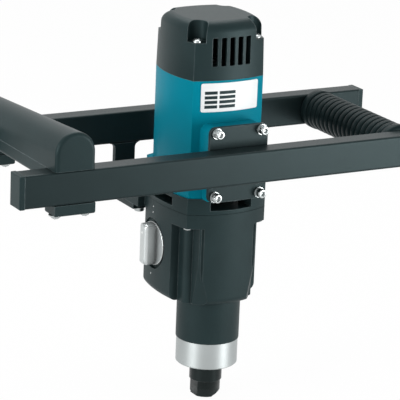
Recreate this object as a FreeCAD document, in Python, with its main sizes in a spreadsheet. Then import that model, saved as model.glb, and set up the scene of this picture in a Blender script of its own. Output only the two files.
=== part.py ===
import FreeCAD, Part
import os
import re
import Sketcher
from fcgear import fcgear, involute

# Two speed mixing drill carried by two long bars, with a switch handle on the left and a
# ribbed grip on the right. Millimetres, +Z up. The origin is the centre of the spindle's
# tip face, the spindle turns about Z, and the front bar lies towards -Y.

SIZES = {
    # Frame of two tubes
    "bar_length": 450, "bar_height": 30, "bar_depth": 20, "bar_wall": 2, "bar_corner": 2,
    "frame_depth": 188, "bar_lift": 49.5, "cap_lip": 5, "cap_plug": 14,
    "front_plate_half": 29.7, "front_plate_height": 70, "front_plate_thickness": 3.5,
    "front_plate_corner": 6, "frame_bolt_x": 23, "frame_bolt_z": 29.5, "frame_bolt_radius": 2.5,
    "frame_bolt_reach": 16, "frame_bolt_head": 4.25, "frame_bolt_head_height": 5,
    "frame_bolt_key": 2, "frame_bolt_key_depth": 2.6,
    "washer_radius": 5, "washer_thickness": 1.1, "spring_washer_radius": 4.3,
    "spring_washer_thickness": 1.3,
    "bracket_x": 38.5, "bracket_width": 21, "bracket_thickness": 5, "bracket_flare": 5,
    "bracket_bolt_radius": 3, "bracket_bolt_head": 4.8, "bracket_bolt_head_height": 4.5,
    "bracket_bolt_reach": 11, "bracket_bolt_y": 71, "bracket_toe": 7, "lug_wall": 9,
    # Motor housing and its cover
    "housing_corner": 36, "housing_bow": 106, "housing_height": 107.5, "housing_bore": 37,
    "housing_flange_height": 20, "bracket_seat_depth": 3, "bracket_seat_radius": 39,
    "boss_half": 28, "boss_above_bar": 19.5, "boss_corner": 8, "boss_depth": 14.2, "flange_step": 1,
    "fan_chamber_height": 16, "fan_chamber_radius": 34, "coil_chamber_height": 26, "coil_room": 1,
    "cover_height": 53, "cover_wall": 3, "cover_taper": 1.4, "cover_edge": 10,
    "cover_screw_spot": 30.5, "cover_screw_radius": 2, "cover_screw_head": 4.2,
    "cover_screw_head_height": 3, "cover_screw_reach": 15, "niche_radius": 9, "niche_depth": 18.5,
    "vent_width": 5.4, "vent_height": 26, "vent_pitch": 8.4, "vent_count": 5, "vent_lift": 13,
    "vent_corner": 1.15,
    "plate_width": 58, "plate_rise": 10, "plate_thickness": 0.6, "plate_drop": 2, "plate_corner": 1.8,
    # Motor
    "field_inner": 22.6, "armature_radius": 22, "coil_overhang": 8,
    "window_inner": 25, "window_outer": 33, "window_sweep": 17, "window_margin": 2,
    "pole_half_angle": 40, "armature_slots": 12, "armature_slot_radius": 1.2,
    "coil_clearance": 0.4, "shaft_radius": 6, "winding_radius": 20, "winding_height": 8,
    "commutator_radius": 13, "commutator_height": 17, "commutator_gap": 3,
    "commutator_drop": 5.5,
    "fan_radius": 29, "fan_hub_radius": 10, "fan_disc": 1.6, "fan_height": 11, "fan_lift": 2.5,
    "fan_blades": 13, "fan_blade_thickness": 1.5, "fan_blade_root": 1,
    "brush_width": 6.4, "brush_height": 9, "brush_length": 17, "holder_wall": 1.6,
    "holder_post": 6, "hub_wall": 2.6, "hub_height": 12, "bracket_window_sweep": 50,
    "end_bearing_bore": 4, "end_bearing_radius": 11, "end_bearing_width": 7,
    "drive_bearing_bore": 5, "drive_bearing_radius": 13, "drive_bearing_width": 8,
    "shield_recess": 0.5, "race_share": 0.25,
    # Gear train
    "pressure_angle": 20, "tooth_thinning": 0.06,
    "first_module": 0.8, "pinion_teeth": 10, "driven_teeth": 40, "driven_width": 9,
    "second_module": 1.5, "low_pinion_teeth": 12, "low_gear_teeth": 36, "high_gear_teeth": 28,
    "low_gear_width": 12, "high_gear_width": 9, "wheel_addendum": 0.6, "pinion_addendum": 1,
    "low_wheel_addendum": 0.75, "gear_gap": 2, "pinion_overlap": 0.5,
    "counter_radius": 7, "counter_top_radius": 6, "counter_foot_radius": 4,
    "counter_foot_bearing_radius": 8, "counter_foot_bearing_width": 5,
    "counter_head_bearing_radius": 12, "counter_head_bearing_width": 6,
    # Clutch and selector
    "dog_height": 4, "dog_gap": 0.5, "dog_stop": 0.4, "dog_inner": 13.6, "dog_outer": 17,
    "dog_sweep": 48, "dog_count": 3, "sleeve_length": 10.5, "sleeve_groove": 5.4,
    "sleeve_groove_depth": 2.6, "spline_half": 10.6, "fork_thickness": 5, "fork_reach": 5,
    "selector_throw": 3, "selector_pin": 2.5, "selector_slack": 0.8, "selector_slot": 14,
    "fork_plate_x": 29, "fork_plate_thickness": 4, "fork_plate_margin": 4,
    "rod_x": 31, "rod_y": 8, "rod_radius": 3, "fork_hub_wall": 2.6, "fork_hub_height": 16,
    "knob_y": 29, "knob_lift": 39, "knob_radius": 20.5, "knob_disc": 4, "knob_grip_width": 13,
    "knob_grip_height": 11, "knob_shaft_radius": 6,
    "knob_seat_radius": 24, "knob_seat_x": 41.7,
    # Gear housing
    "nose_bottom": 57.5, "nose_length": 40.5, "nose_radius": 29.5, "nose_bore": 20,
    "floor_thickness": 7, "ledge": 1.4, "gear_bottom_edge": 7, "gear_flange_height": 13.4,
    "flange_corner_x": 40.6, "flange_front_y": -25.7, "flange_rear_y": 58,
    "flange_front_bow": 77, "flange_rear_bow": 92, "flange_side_bow": 150,
    "chamber_corner_x": 32.8, "chamber_front_y": -19.8, "chamber_rear_y": 51.3,
    "chamber_front_bow": 53.9, "chamber_rear_bow": 74.4, "chamber_side_bow": 100,
    "gear_screw_x": 36.6, "gear_screw_front_y": -21.4, "gear_screw_rear_y": 54.2,
    "gear_screw_radius": 2.5, "gear_screw_head": 4.2, "gear_screw_head_height": 2.6,
    "gear_screw_reach": 14, "flute_radius": 6.5, "flute_wall": 2.4,
    "notch_x": 29.5, "notch_y": -5.3, "core_x": 36.2, "core_front_y": -19.2, "core_corner": 6,
    "notch_wall": 3, "pad_groove_x": 26.7, "pad_groove_radius": 1.2,
    "facet_turn": 52, "facet_lean": 8, "facet_reach": 36.7, "facet_width": 24, "facet_side": 4,
    "gear_cover_height": 15.2, "gear_cover_gap": 6.9, "gear_cover_floor": 3, "skirt_wall": 3,
    "exhaust_half": 21, "exhaust_height": 8, "exhaust_sill": 1,
    "bearing_plate_thickness": 9.5,
    # Spindle
    "spindle_tip": 15.5, "spindle_tip_radius": 14, "spindle_flat_half": 12, "spindle_radius": 15.2,
    "spindle_chamfer": 2, "spindle_journal": 12.5, "spindle_top_journal": 6, "spindle_neck": 10,
    "thread_radius": 6, "thread_depth": 26,
    "nose_bearing_radius": 26, "nose_bearing_width": 15, "top_bearing_radius": 14,
    "top_bearing_width": 8, "spacer_radius": 16,
    "ring_radius": 28.8, "ring_height": 25, "ring_spigot": 2.5, "ring_bore": 16, "ring_edge": 1,
    "seal_radius": 21, "seal_width": 8, "seal_lift": 6,
    # Switch handle and side grip
    "handle_inset": 53, "handle_half": 19, "handle_side": 15.5, "handle_wall": 3, "handle_end": 42,
    "handle_edge": 3.5, "handle_drop": 10, "belly_depth": 12, "belly_end_depth": 7, "belly_wall": 2.6,
    "belly_edge": 3, "foot_margin": 0.5, "foot_height": 10, "foot_edge": 2,
    "foot_screw_inset": 5, "foot_screw_radius": 2.5, "foot_screw_head": 4.4,
    "foot_screw_head_height": 2.8, "foot_screw_reach": 9,
    "handle_screw_inset": 12, "handle_screw_radius": 2, "handle_screw_head": 3.6,
    "handle_screw_head_height": 2.4, "handle_screw_reach": 12,
    "trigger_width": 14, "trigger_length": 78, "trigger_drop": 8, "trigger_height": 15,
    "trigger_tail": 7, "trigger_centre": 12, "trigger_pin_radius": 2, "trigger_edge": 3,
    "switch_room": 6.9, "switch_length": 44, "switch_height": 8, "switch_lift": 2.6,
    "button_radius": 4.2, "button_proud": 3.5, "button_flange": 1.6, "button_flange_rim": 1.4,
    "button_stem": 1.2, "button_lift": 6.5,
    "inlet_radius": 8, "inlet_bore": 4.5, "inlet_depth": 14, "inlet_proud": 3, "inlet_lift": 11.5,
    "grip_inset": 53, "grip_tube_radius": 12, "grip_tube_wall": 2, "grip_core": 17, "grip_rib": 1.7,
    "grip_rib_width": 5, "grip_rib_pitch": 8, "grip_collar": 2.2, "grip_collar_length": 7.4,
    # Fits
    "running_fit": 0.05, "slip_fit": 0.1, "screw_fit": 0.1, "moving_gap": 0.4, "hole_end": 1,
}

Vector = FreeCAD.Vector
DOC = FreeCAD.newDocument("MixingDrill")
SHEET = DOC.addObject("Spreadsheet::Sheet", "Sizes")
for row, (alias, number) in enumerate(SIZES.items(), 1):
    SHEET.set(f"A{row}", alias)
    SHEET.set(f"B{row}", str(number))
    SHEET.setAlias(f"B{row}", alias)
DOC.recompute()

# Places worked out from the driving sizes, as expressions
COUNTER_Y = "(second_module * (low_pinion_teeth + low_gear_teeth) / 2)"
MOTOR_Y = f"({COUNTER_Y} - first_module * (pinion_teeth + driven_teeth) / 2)"
HIGH_PINION_TEETH = "(low_pinion_teeth + low_gear_teeth - high_gear_teeth)"
GEAR_BOTTOM = "(nose_bottom + nose_length)"
FLOOR = f"({GEAR_BOTTOM} + floor_thickness)"
LOW_Z = f"({FLOOR} + gear_gap)"
LOW_TOP = f"({LOW_Z} + low_gear_width)"
SLEEVE_TIP = f"({LOW_TOP} + dog_gap)"
SLEEVE_Z = f"({SLEEVE_TIP} + dog_height)"
SLEEVE_TOP = f"({SLEEVE_Z} + sleeve_length)"
SLEEVE_END = f"({SLEEVE_TOP} + dog_height)"
HIGH_DOG = f"({SLEEVE_END} + 2 * selector_throw + dog_stop)"
HIGH_Z = f"({HIGH_DOG} + dog_height)"
HIGH_TOP = f"({HIGH_Z} + high_gear_width)"
PLATE_Z = f"({HIGH_TOP} + gear_gap / 2)"
PLATE_TOP = f"({PLATE_Z} + bearing_plate_thickness)"
DRIVEN_Z = f"({PLATE_TOP} + gear_gap)"
DRIVEN_TOP = f"({DRIVEN_Z} + driven_width)"
PARTING_Z = f"({DRIVEN_TOP} + gear_cover_gap)"
FLANGE_Z = f"({PARTING_Z} - gear_flange_height)"
CHAMBER_Z = f"({PARTING_Z} + gear_cover_floor)"
HOUSING_Z = f"({PARTING_Z} + gear_cover_height)"
HOUSING_TOP = f"({HOUSING_Z} + housing_height)"
COVER_TOP = f"({HOUSING_TOP} + cover_height)"
BAR_TOP = f"({HOUSING_Z} + bar_lift)"
BAR_BOTTOM = f"({BAR_TOP} - bar_height)"
BAR_MID = f"({BAR_TOP} - bar_height / 2)"
HOUSING_FRONT = f"({MOTOR_Y} - housing_corner - housing_bow + sqrt(housing_bow^2 - housing_corner^2))"
BOSS_FRONT = f"({HOUSING_FRONT} - boss_depth)"
BOSS_TOP = f"({BAR_TOP} + boss_above_bar)"
FRONT_IN = f"({BOSS_FRONT} - front_plate_thickness)"
FRONT_OUT = f"({FRONT_IN} - bar_depth)"
REAR_OUT = f"({FRONT_OUT} + frame_depth)"
REAR_IN = f"({REAR_OUT} - bar_depth)"
FRAME_MID = f"(({FRONT_OUT} + {REAR_OUT}) / 2)"
HANDLE_X = "(handle_inset - bar_length / 2)"
GRIP_X = "(bar_length / 2 - grip_inset)"
FOOT_SCREW_X = "(handle_half - foot_screw_inset)"
KNOB_Z = f"({FLOOR} + knob_lift)"
CORE_Z = f"({HOUSING_Z} + coil_chamber_height)"
COMMUTATOR_TOP = f"({HOUSING_TOP} - commutator_drop)"
COMMUTATOR_Z = f"({COMMUTATOR_TOP} - commutator_height)"
WINDING_TOP = f"({COMMUTATOR_Z} - commutator_gap)"
CORE_TOP = f"({WINDING_TOP} - winding_height)"
SEAT_Z = f"({HOUSING_TOP} - bracket_seat_depth)"
END_BEARING_Z = f"({SEAT_Z} + bracket_seat_depth)"
DRIVE_BEARING_Z = f"({PARTING_Z} + gear_cover_floor / 2)"
DRIVE_BEARING_TOP = f"({DRIVE_BEARING_Z} + drive_bearing_width)"
RING_Z = "(nose_bottom - ring_height)"
NOSE_BEARING_Z = "(nose_bottom + ring_spigot)"
NOSE_BEARING_TOP = f"({NOSE_BEARING_Z} + nose_bearing_width)"
NICHE_Z = f"({COVER_TOP} - niche_depth)"
LUG_REAR = "(bracket_bolt_y + lug_wall)"
BRACKET_LEG = f"max({REAR_IN}; {LUG_REAR} + slip_fit)"

TURNS = {
    "x": FreeCAD.Rotation(Vector(0, 0, 1), Vector(1, 0, 0)),
    "y": FreeCAD.Rotation(Vector(0, 0, 1), Vector(0, 1, 0)),
    "z": FreeCAD.Rotation(),
}
NODES = {}
TOUCH = 0.01


def bound(text):
    """Expression text with each named size pointing at its cell in the sheet."""
    return re.sub(r"[a-z][a-z_]*", lambda m: f"Sizes.{m[0]}" if m[0] in SIZES else m[0], str(text))


def value(text):
    """Number that an expression gives for the sheet's present sizes."""
    return float(SHEET.evalExpression(bound(text)))


def tie(item, prop, text):
    item.setExpression(prop, bound(text))


def place(item, x, y, z):
    for axis, text in zip("xyz", (x, y, z)):
        tie(item, f"Placement.Base.{axis}", text)


def node(label, item):
    """Name a finished sub-part, which names its file."""
    item.Label = label
    NODES[label] = item


def block(name, x, y, z):
    """Box between pairs of expressions along each axis."""
    item = DOC.addObject("Part::Box", name)
    for prop, (low, high) in zip(("Length", "Width", "Height"), (x, y, z)):
        tie(item, prop, f"({high}) - ({low})")
    place(item, x[0], y[0], z[0])
    return item


def rod(name, radius, along, low, high, centre, sweep="360", turn=0):
    """Cylinder along x, y or z from low to high, centred on the other two axes."""
    item = DOC.addObject("Part::Cylinder", name)
    item.Placement = FreeCAD.Placement(Vector(), TURNS[along] * FreeCAD.Rotation(Vector(0, 0, 1), turn))
    tie(item, "Radius", radius)
    tie(item, "Height", f"({high}) - ({low})")
    tie(item, "Angle", sweep)
    first, second = centre
    spot = {"x": (low, first, second), "y": (first, low, second), "z": (first, second, low)}
    place(item, *spot[along])
    return item


def fuse(name, *items):
    item = DOC.addObject("Part::MultiFuse", name)
    item.Shapes = list(items)
    item.Refine = True
    return item


def cut(name, base, *tools):
    item = DOC.addObject("Part::Cut", name)
    item.Base = base
    item.Tool = tools[0] if len(tools) == 1 else fuse(f"{name}_tools", *tools)
    item.Refine = True
    return item


def common(name, *items):
    item = DOC.addObject("Part::MultiCommon", name)
    item.Shapes = list(items)
    item.Refine = True
    return item


def group(name, items):
    item = DOC.addObject("Part::Compound", name)
    item.Links = list(items)
    return item


def tube(name, outer, inner, along, low, high, centre, sweep="360", turn=0):
    """Ring or tube, or a sector of one."""
    core = rod(f"{name}_bore", inner, along, low, high, centre)
    return cut(name, rod(f"{name}_outer", outer, along, low, high, centre, sweep, turn), core)


def sketch_in(body, plane, name, lift="0"):
    sketch = body.newObject("Sketcher::SketchObject", name)
    origin_plane = next(item for item in body.Origin.OriginFeatures if item.Role == plane)
    sketch.AttachmentSupport = (origin_plane, "")
    sketch.MapMode = "FlatFace"
    tie(sketch, "AttachmentOffset.Base.z", lift)
    return sketch


def pin_point(sketch, index, end, x, y):
    """Hold one end of a sketch line or arc at its place from the origin."""
    for kind, axis, text in (("DistanceX", -2, x), ("DistanceY", -1, y)):
        if text == "0":
            sketch.addConstraint(Sketcher.Constraint("PointOnObject", index, end, axis))
        else:
            made = sketch.addConstraint(Sketcher.Constraint(kind, -1, 1, index, end, value(text)))
            tie(sketch, f"Constraints[{made}]", text)


def draw(sketch, points):
    """Closed outline, anticlockwise. A third value at a point bows the next side out by that radius."""
    spots = [Vector(value(point[0]), value(point[1]), 0) for point in points]
    first = sketch.GeometryCount
    for start, end, point in zip(spots, spots[1:] + spots[:1], points):
        if len(point) == 2:
            sketch.addGeometry(Part.LineSegment(start, end))
            continue
        radius = value(point[2])
        side = end - start
        rise = radius - (radius**2 - (side.Length / 2)**2)**0.5
        outward = Vector(side.y, -side.x, 0).normalize()
        sketch.addGeometry(Part.Arc(start, (start + end) / 2 + outward * rise, end))
    count = len(points)
    for step, point in enumerate(points):
        here = first + step
        sketch.addConstraint(Sketcher.Constraint("Coincident", here, 2, first + (step + 1) % count, 1))
        pin_point(sketch, here, 1, point[0], point[1])
        if len(point) == 3:
            made = sketch.addConstraint(Sketcher.Constraint("Radius", here, value(point[2])))
            tie(sketch, f"Constraints[{made}]", point[2])


def pad(body, plane, points, low, length, taper="0"):
    """Raise an outline from a plane by a length, drawn in by a taper angle."""
    sketch = sketch_in(body, plane, f"{body.Name}_sketch", low)
    draw(sketch, points)
    feature = body.newObject("PartDesign::Pad", f"{body.Name}_pad")
    feature.Profile = sketch
    tie(feature, "Length", length)
    if taper != "0":
        tie(feature, "TaperAngle", taper)


def solid(name, plane, points, low, length, taper="0"):
    """Body with one padded outline."""
    body = DOC.addObject("PartDesign::Body", name)
    pad(body, plane, points, low, length, taper)
    return body


def turned(name, outline, along, centre, low="0"):
    """Body turned about an axis from an outline of radius and height pairs."""
    body = DOC.addObject("PartDesign::Body", name)
    sketch = sketch_in(body, "XZ_Plane", f"{name}_sketch")
    draw(sketch, outline)
    feature = body.newObject("PartDesign::Revolution", f"{name}_turn")
    feature.Profile = sketch
    feature.ReferenceAxis = (sketch, ["V_Axis"])
    feature.Angle = 360
    body.Placement = FreeCAD.Placement(Vector(), TURNS[along])
    first, second = centre
    spot = {"x": (low, first, second), "y": (first, low, second), "z": (first, second, low)}
    place(body, *spot[along])
    return body


def round_edges(body, radius, chosen):
    """Round the chosen edges of a body's last feature."""
    DOC.recompute()
    base = body.Tip
    names = [f"Edge{index}" for index, edge in enumerate(base.Shape.Edges, 1) if chosen(edge)]
    feature = body.newObject("PartDesign::Fillet", f"{body.Name}_round")
    feature.Base = (base, names)
    tie(feature, "Radius", radius)


def rectangle(x, y):
    return [(x[0], y[0]), (x[1], y[0]), (x[1], y[1]), (x[0], y[1])]


def rounded_rectangle(x, y, radius):
    """Rectangle with its four corners rounded."""
    left, right = (f"({text})" for text in x)
    low, high = (f"({text})" for text in y)
    return [
        (f"{left} + {radius}", low), (f"{right} - {radius}", low, radius),
        (right, f"{low} + {radius}"), (right, f"{high} - {radius}", radius),
        (f"{right} - {radius}", high), (f"{left} + {radius}", high, radius),
        (left, f"{high} - {radius}"), (left, f"{low} + {radius}", radius),
    ]


def bowed(corner, front, rear, bows, inset="0"):
    """Four sided outline with bowed sides, drawn in by an even inset at the front and rear."""
    front_bow, side_bow, rear_bow = bows
    x = f"({corner} - ({inset}))"

    def drawn_in(bow):
        return f"(sqrt({bow}^2 - {corner}^2) - sqrt(({bow} - ({inset}))^2 - {x}^2))"

    front_y = f"{front} + {drawn_in(front_bow)}"
    rear_y = f"{rear} - {drawn_in(rear_bow)}"
    return [
        (f"-{x}", front_y, f"{front_bow} - ({inset})"),
        (x, front_y, side_bow),
        (x, rear_y, f"{rear_bow} - ({inset})"),
        (f"-{x}", rear_y, side_bow),
    ]


def motor_outline(inset="0"):
    front = f"({MOTOR_Y} - housing_corner)"
    rear = f"({MOTOR_Y} + housing_corner)"
    return bowed("housing_corner", front, rear, ["housing_bow"] * 3, inset)


def chamber_outline(inset="0"):
    bows = ["chamber_front_bow", "chamber_side_bow", "chamber_rear_bow"]
    return bowed("chamber_corner_x", "chamber_front_y", "chamber_rear_y", bows, inset)


def flange_outline(inset="0"):
    bows = ["flange_front_bow", "flange_side_bow", "flange_rear_bow"]
    return bowed("flange_corner_x", "flange_front_y", "flange_rear_y", bows, inset)


def screw(name, along, under, shank, reach, head, head_height, centre, facing=1):
    """Screw whose head sits against the face at under, with its shank going the other way."""
    tip = f"{under} + {facing} * ({reach})"
    crown = f"{under} - {facing} * {head_height}"
    ends = (under, tip) if facing > 0 else (tip, under)
    crown_ends = (crown, under) if facing > 0 else (under, crown)
    return fuse(
        name,
        rod(f"{name}_shank", shank, along, *ends, centre),
        rod(f"{name}_head", head, along, *crown_ends, centre),
    )


def gear(name, module, teeth, addendum, bottom, width, centre_y, facing, gap):
    """Involute gear whose tooth, or gap, lies at the facing angle."""
    count = round(value(teeth))
    wires = fcgear.FCWireBuilder()
    involute.CreateExternalGear(
        wires, value(module), count, value("pressure_angle"), False,
        addCoeff=value(addendum), shiftCoeff=-value("tooth_thinning"),
    )
    outline = DOC.addObject("Part::Feature", f"{name}_outline")
    outline.Shape = Part.Face(Part.Wire([edge.toShape() for edge in wires.wire]))
    turn = facing + (180 / count if gap else 0)
    outline.Placement = FreeCAD.Placement(Vector(), FreeCAD.Rotation(Vector(0, 0, 1), turn))
    place(outline, "0", centre_y, bottom)
    item = DOC.addObject("Part::Extrusion", name)
    item.Base = outline
    item.DirMode = "Normal"
    item.Solid = True
    tie(item, "LengthFwd", width)
    return item


def bearing(label, bore, radius, width, low, centre):
    """Shielded ball bearing, with its two shields set back from the faces."""
    recess = "shield_recess"
    rim = f"race_share * ({radius} - {bore})"
    inner = f"{bore} + {rim}"
    outer = f"{radius} - {rim}"
    outline = [
        (bore, "0"), (inner, "0"), (inner, recess), (outer, recess), (outer, "0"), (radius, "0"),
        (radius, width), (outer, width), (outer, f"{width} - {recess}"),
        (inner, f"{width} - {recess}"), (inner, width), (bore, width),
    ]
    node(label, turned(label, outline, "z", centre, low))


def front_bar_and_rear_bar():
    half = "(bar_length / 2 - cap_lip)"
    for side, low, high, inner in (
        ("front", FRONT_OUT, FRONT_IN, FRONT_IN), ("rear", REAR_IN, REAR_OUT, REAR_IN),
    ):
        label = f"{side}_bar"
        body = solid(f"{label}_stock", "YZ_Plane", rectangle((low, high), (BAR_BOTTOM, BAR_TOP)),
                     f"-{half}", f"2 * {half}")
        round_edges(body, "bar_corner", lambda edge: edge.BoundBox.XLength > value("bar_depth"))
        bore = block(f"{label}_bore", (f"-{half}", half), (f"{low} + bar_wall", f"{high} - bar_wall"),
                     (f"{BAR_BOTTOM} + bar_wall", f"{BAR_TOP} - bar_wall"))
        holes = [
            rod(f"{label}_screw_hole", "foot_screw_radius + screw_fit", "z", BAR_BOTTOM, BAR_TOP,
                (f"{HANDLE_X} + {sign} * {FOOT_SCREW_X}", f"({low} + {high}) / 2"))
            for sign in (-1, 1)
        ]
        middle = f"({low} + {high}) / 2"
        ends = (middle, inner) if side == "front" else (inner, middle)
        holes.append(rod(f"{label}_grip_hole", "grip_tube_radius + slip_fit", "y", *ends,
                         (GRIP_X, BAR_MID)))
        node(label, cut(label, body, bore, *holes))


def bar_end_caps():
    caps = []
    for side, low, high in (("front", FRONT_OUT, FRONT_IN), ("rear", REAR_IN, REAR_OUT)):
        for end, sign in (("left", -1), ("right", 1)):
            name = f"{side}_{end}_cap"
            face = "bar_length / 2"
            seam = "(bar_length / 2 - cap_lip)"
            start = f"-{face}" if sign < 0 else seam
            body = solid(f"{name}_lip", "YZ_Plane", rectangle((low, high), (BAR_BOTTOM, BAR_TOP)),
                         start, "cap_lip")
            outer_x = sign * value(face)
            round_edges(body, "bar_corner / 2", lambda edge: abs(edge.CenterOfMass.x - outer_x) < TOUCH)
            plug_x = (seam + " - cap_plug", seam) if sign > 0 else (f"-{seam}", f"-{seam} + cap_plug")
            inset = "(bar_wall + slip_fit)"
            plug = block(f"{name}_plug", plug_x, (f"{low} + {inset}", f"{high} - {inset}"),
                         (f"{BAR_BOTTOM} + {inset}", f"{BAR_TOP} - {inset}"))
            caps.append(fuse(name, body, plug))
    node("bar_end_caps", group("bar_end_caps", caps))


def frame_bolt_spots():
    for x_sign in (-1, 1):
        for z_sign in (-1, 1):
            yield f"{x_sign} * frame_bolt_x", f"{BAR_MID} + {z_sign} * frame_bolt_z"


def front_plate():
    outline = rounded_rectangle(
        ("-front_plate_half", "front_plate_half"),
        (f"{BAR_MID} - front_plate_height / 2", f"{BAR_MID} + front_plate_height / 2"),
        "front_plate_corner",
    )
    body = solid("front_plate_sheet", "XZ_Plane", outline, f"-{BOSS_FRONT}", "front_plate_thickness")
    holes = [
        rod(f"front_plate_hole{number}", "frame_bolt_radius + screw_fit", "y", FRONT_IN, BOSS_FRONT, spot)
        for number, spot in enumerate(frame_bolt_spots(), 1)
    ]
    node("front_plate", cut("front_plate", body, *holes))


def frame_bolts():
    bolts = []
    flat_washers = []
    spring_washers = []
    flat = f"{FRONT_IN} - washer_thickness"
    under = f"({flat} - spring_washer_thickness)"
    for number, spot in enumerate(frame_bolt_spots(), 1):
        blank = screw(f"frame_bolt{number}_blank", "y", under, "frame_bolt_radius",
                      f"{BOSS_FRONT} + frame_bolt_reach - {under}", "frame_bolt_head",
                      "frame_bolt_head_height", spot)
        key = DOC.addObject("Part::Prism", f"frame_bolt{number}_key")
        key.Placement = FreeCAD.Placement(Vector(), TURNS["y"])
        key.Polygon = 6
        tie(key, "Circumradius", "frame_bolt_key / cos(30)")
        tie(key, "Height", "frame_bolt_key_depth")
        place(key, spot[0], f"{under} - frame_bolt_head_height", spot[1])
        bolts.append(cut(f"frame_bolt{number}", blank, key))
        flat_washers.append(tube(f"flat_washer{number}", "washer_radius", "frame_bolt_radius + screw_fit",
                                 "y", flat, FRONT_IN, spot))
        spring = tube(f"spring_washer{number}_ring", "spring_washer_radius",
                      "frame_bolt_radius + screw_fit", "y", under, flat, spot)
        slit_x = (f"{spot[0]} - spring_washer_thickness / 2", f"{spot[0]} + spring_washer_thickness / 2")
        slit = block(f"spring_washer{number}_slit", slit_x, (under, flat),
                     (spot[1], f"{spot[1]} + spring_washer_radius"))
        spring_washers.append(cut(f"spring_washer{number}", spring, slit))
    node("frame_bolts", group("frame_bolts", bolts))
    node("flat_washers", group("flat_washers", flat_washers))
    node("spring_washers", group("spring_washers", spring_washers))


def rear_brackets():
    bolts = []
    for side, sign in (("left", -1), ("right", 1)):
        label = f"rear_bracket_{side}"
        left = f"({sign} * bracket_x - bracket_width / 2)"
        right = f"({sign} * bracket_x + bracket_width / 2)"
        low = f"({FLANGE_Z} - bracket_thickness)"
        depth = (BRACKET_LEG, f"{BRACKET_LEG} + bracket_thickness")
        leg = block(f"{label}_leg", (left, right), depth, (low, BAR_BOTTOM))
        toe = block(f"{label}_toe", (left, right), ("bracket_bolt_y - bracket_toe", BRACKET_LEG),
                    (low, FLANGE_Z))
        flare_z = f"({BAR_BOTTOM} - bracket_flare)"
        rounds = [
            rod(f"{label}_round{number}", "bracket_flare", "y", *depth, (x, flare_z))
            for number, x in enumerate((f"{left} - bracket_flare", f"{right} + bracket_flare"), 1)
        ]
        head = block(f"{label}_head", (f"{left} - bracket_flare", f"{right} + bracket_flare"), depth,
                     (flare_z, BAR_BOTTOM))
        flare = cut(f"{label}_flare", head, *rounds)
        spot = (f"{sign} * bracket_x", "bracket_bolt_y")
        hole = rod(f"{label}_hole", "bracket_bolt_radius + screw_fit", "z", low, FLANGE_Z, spot)
        node(label, cut(label, fuse(f"{label}_sheet", leg, toe, flare), hole))
        bolts.append(screw(f"bracket_bolt_{side}", "z", low, "bracket_bolt_radius",
                           "bracket_thickness + bracket_bolt_reach", "bracket_bolt_head",
                           "bracket_bolt_head_height", spot))
    node("bracket_bolts", group("bracket_bolts", bolts))


def cover_screw_spots():
    for x_sign in (-1, 1):
        for y_sign in (-1, 1):
            yield f"{x_sign} * cover_screw_spot", f"{MOTOR_Y} + {y_sign} * cover_screw_spot"


def gear_screw_spots():
    for y in ("gear_screw_front_y", "gear_screw_rear_y"):
        for x_sign in (-1, 1):
            yield f"{x_sign} * gear_screw_x", y


def corner_rooms(name, low, high, notch_wall="0", flute_wall="0"):
    """Room for the gear housing's screws, made wider by a wall: two front notches and two rear flutes."""
    core = solid(f"{name}_core", "XY_Plane", rounded_rectangle(
        (f"{notch_wall} - core_x", f"core_x - ({notch_wall})"),
        (f"core_front_y + {notch_wall}", "gear_screw_rear_y"), f"(core_corner - ({notch_wall}))",
    ), low, f"{high} - {low}")
    inner = f"(notch_x - ({notch_wall}))"
    outer = "(2 * flange_corner_x)"
    depth = ("2 * flange_front_y", f"notch_y + {notch_wall}")
    rooms = [
        cut(f"{name}_notch_{side}", block(f"{name}_notch_{side}_blank", ends, depth, (low, high)), core)
        for side, ends in (("left", (f"-{outer}", f"-{inner}")), ("right", (inner, outer)))
    ]
    for number, spot in enumerate(list(gear_screw_spots())[2:], 1):
        rooms.append(rod(f"{name}_flute{number}", f"flute_radius + {flute_wall}", "z", low, high, spot))
    return rooms


def nose_facets():
    """Slanted cuts that pare the front of the gear housing towards its nose on both sides."""
    facets = []
    for side, sign, start in (("left", -1, "(facet_side - facet_width)"), ("right", 1, "(-facet_side)")):
        facet = DOC.addObject("Part::Box", f"{side}_facet")
        tie(facet, "Length", "facet_width")
        tie(facet, "Width", "facet_width")
        tie(facet, "Height", f"{FLANGE_Z} - {GEAR_BOTTOM}")
        heading = FreeCAD.Rotation(Vector(0, 0, 1), 180 + sign * value("facet_turn"))
        lean = FreeCAD.Rotation(Vector(1, 0, 0), -value("facet_lean"))
        facet.Placement = FreeCAD.Placement(Vector(), heading * lean)
        place(facet, f"{sign} * facet_reach * sin(facet_turn) - {start} * cos(facet_turn)",
              f"-facet_reach * cos(facet_turn) - {sign} * {start} * sin(facet_turn)", GEAR_BOTTOM)
        facets.append(facet)
    return facets


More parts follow.
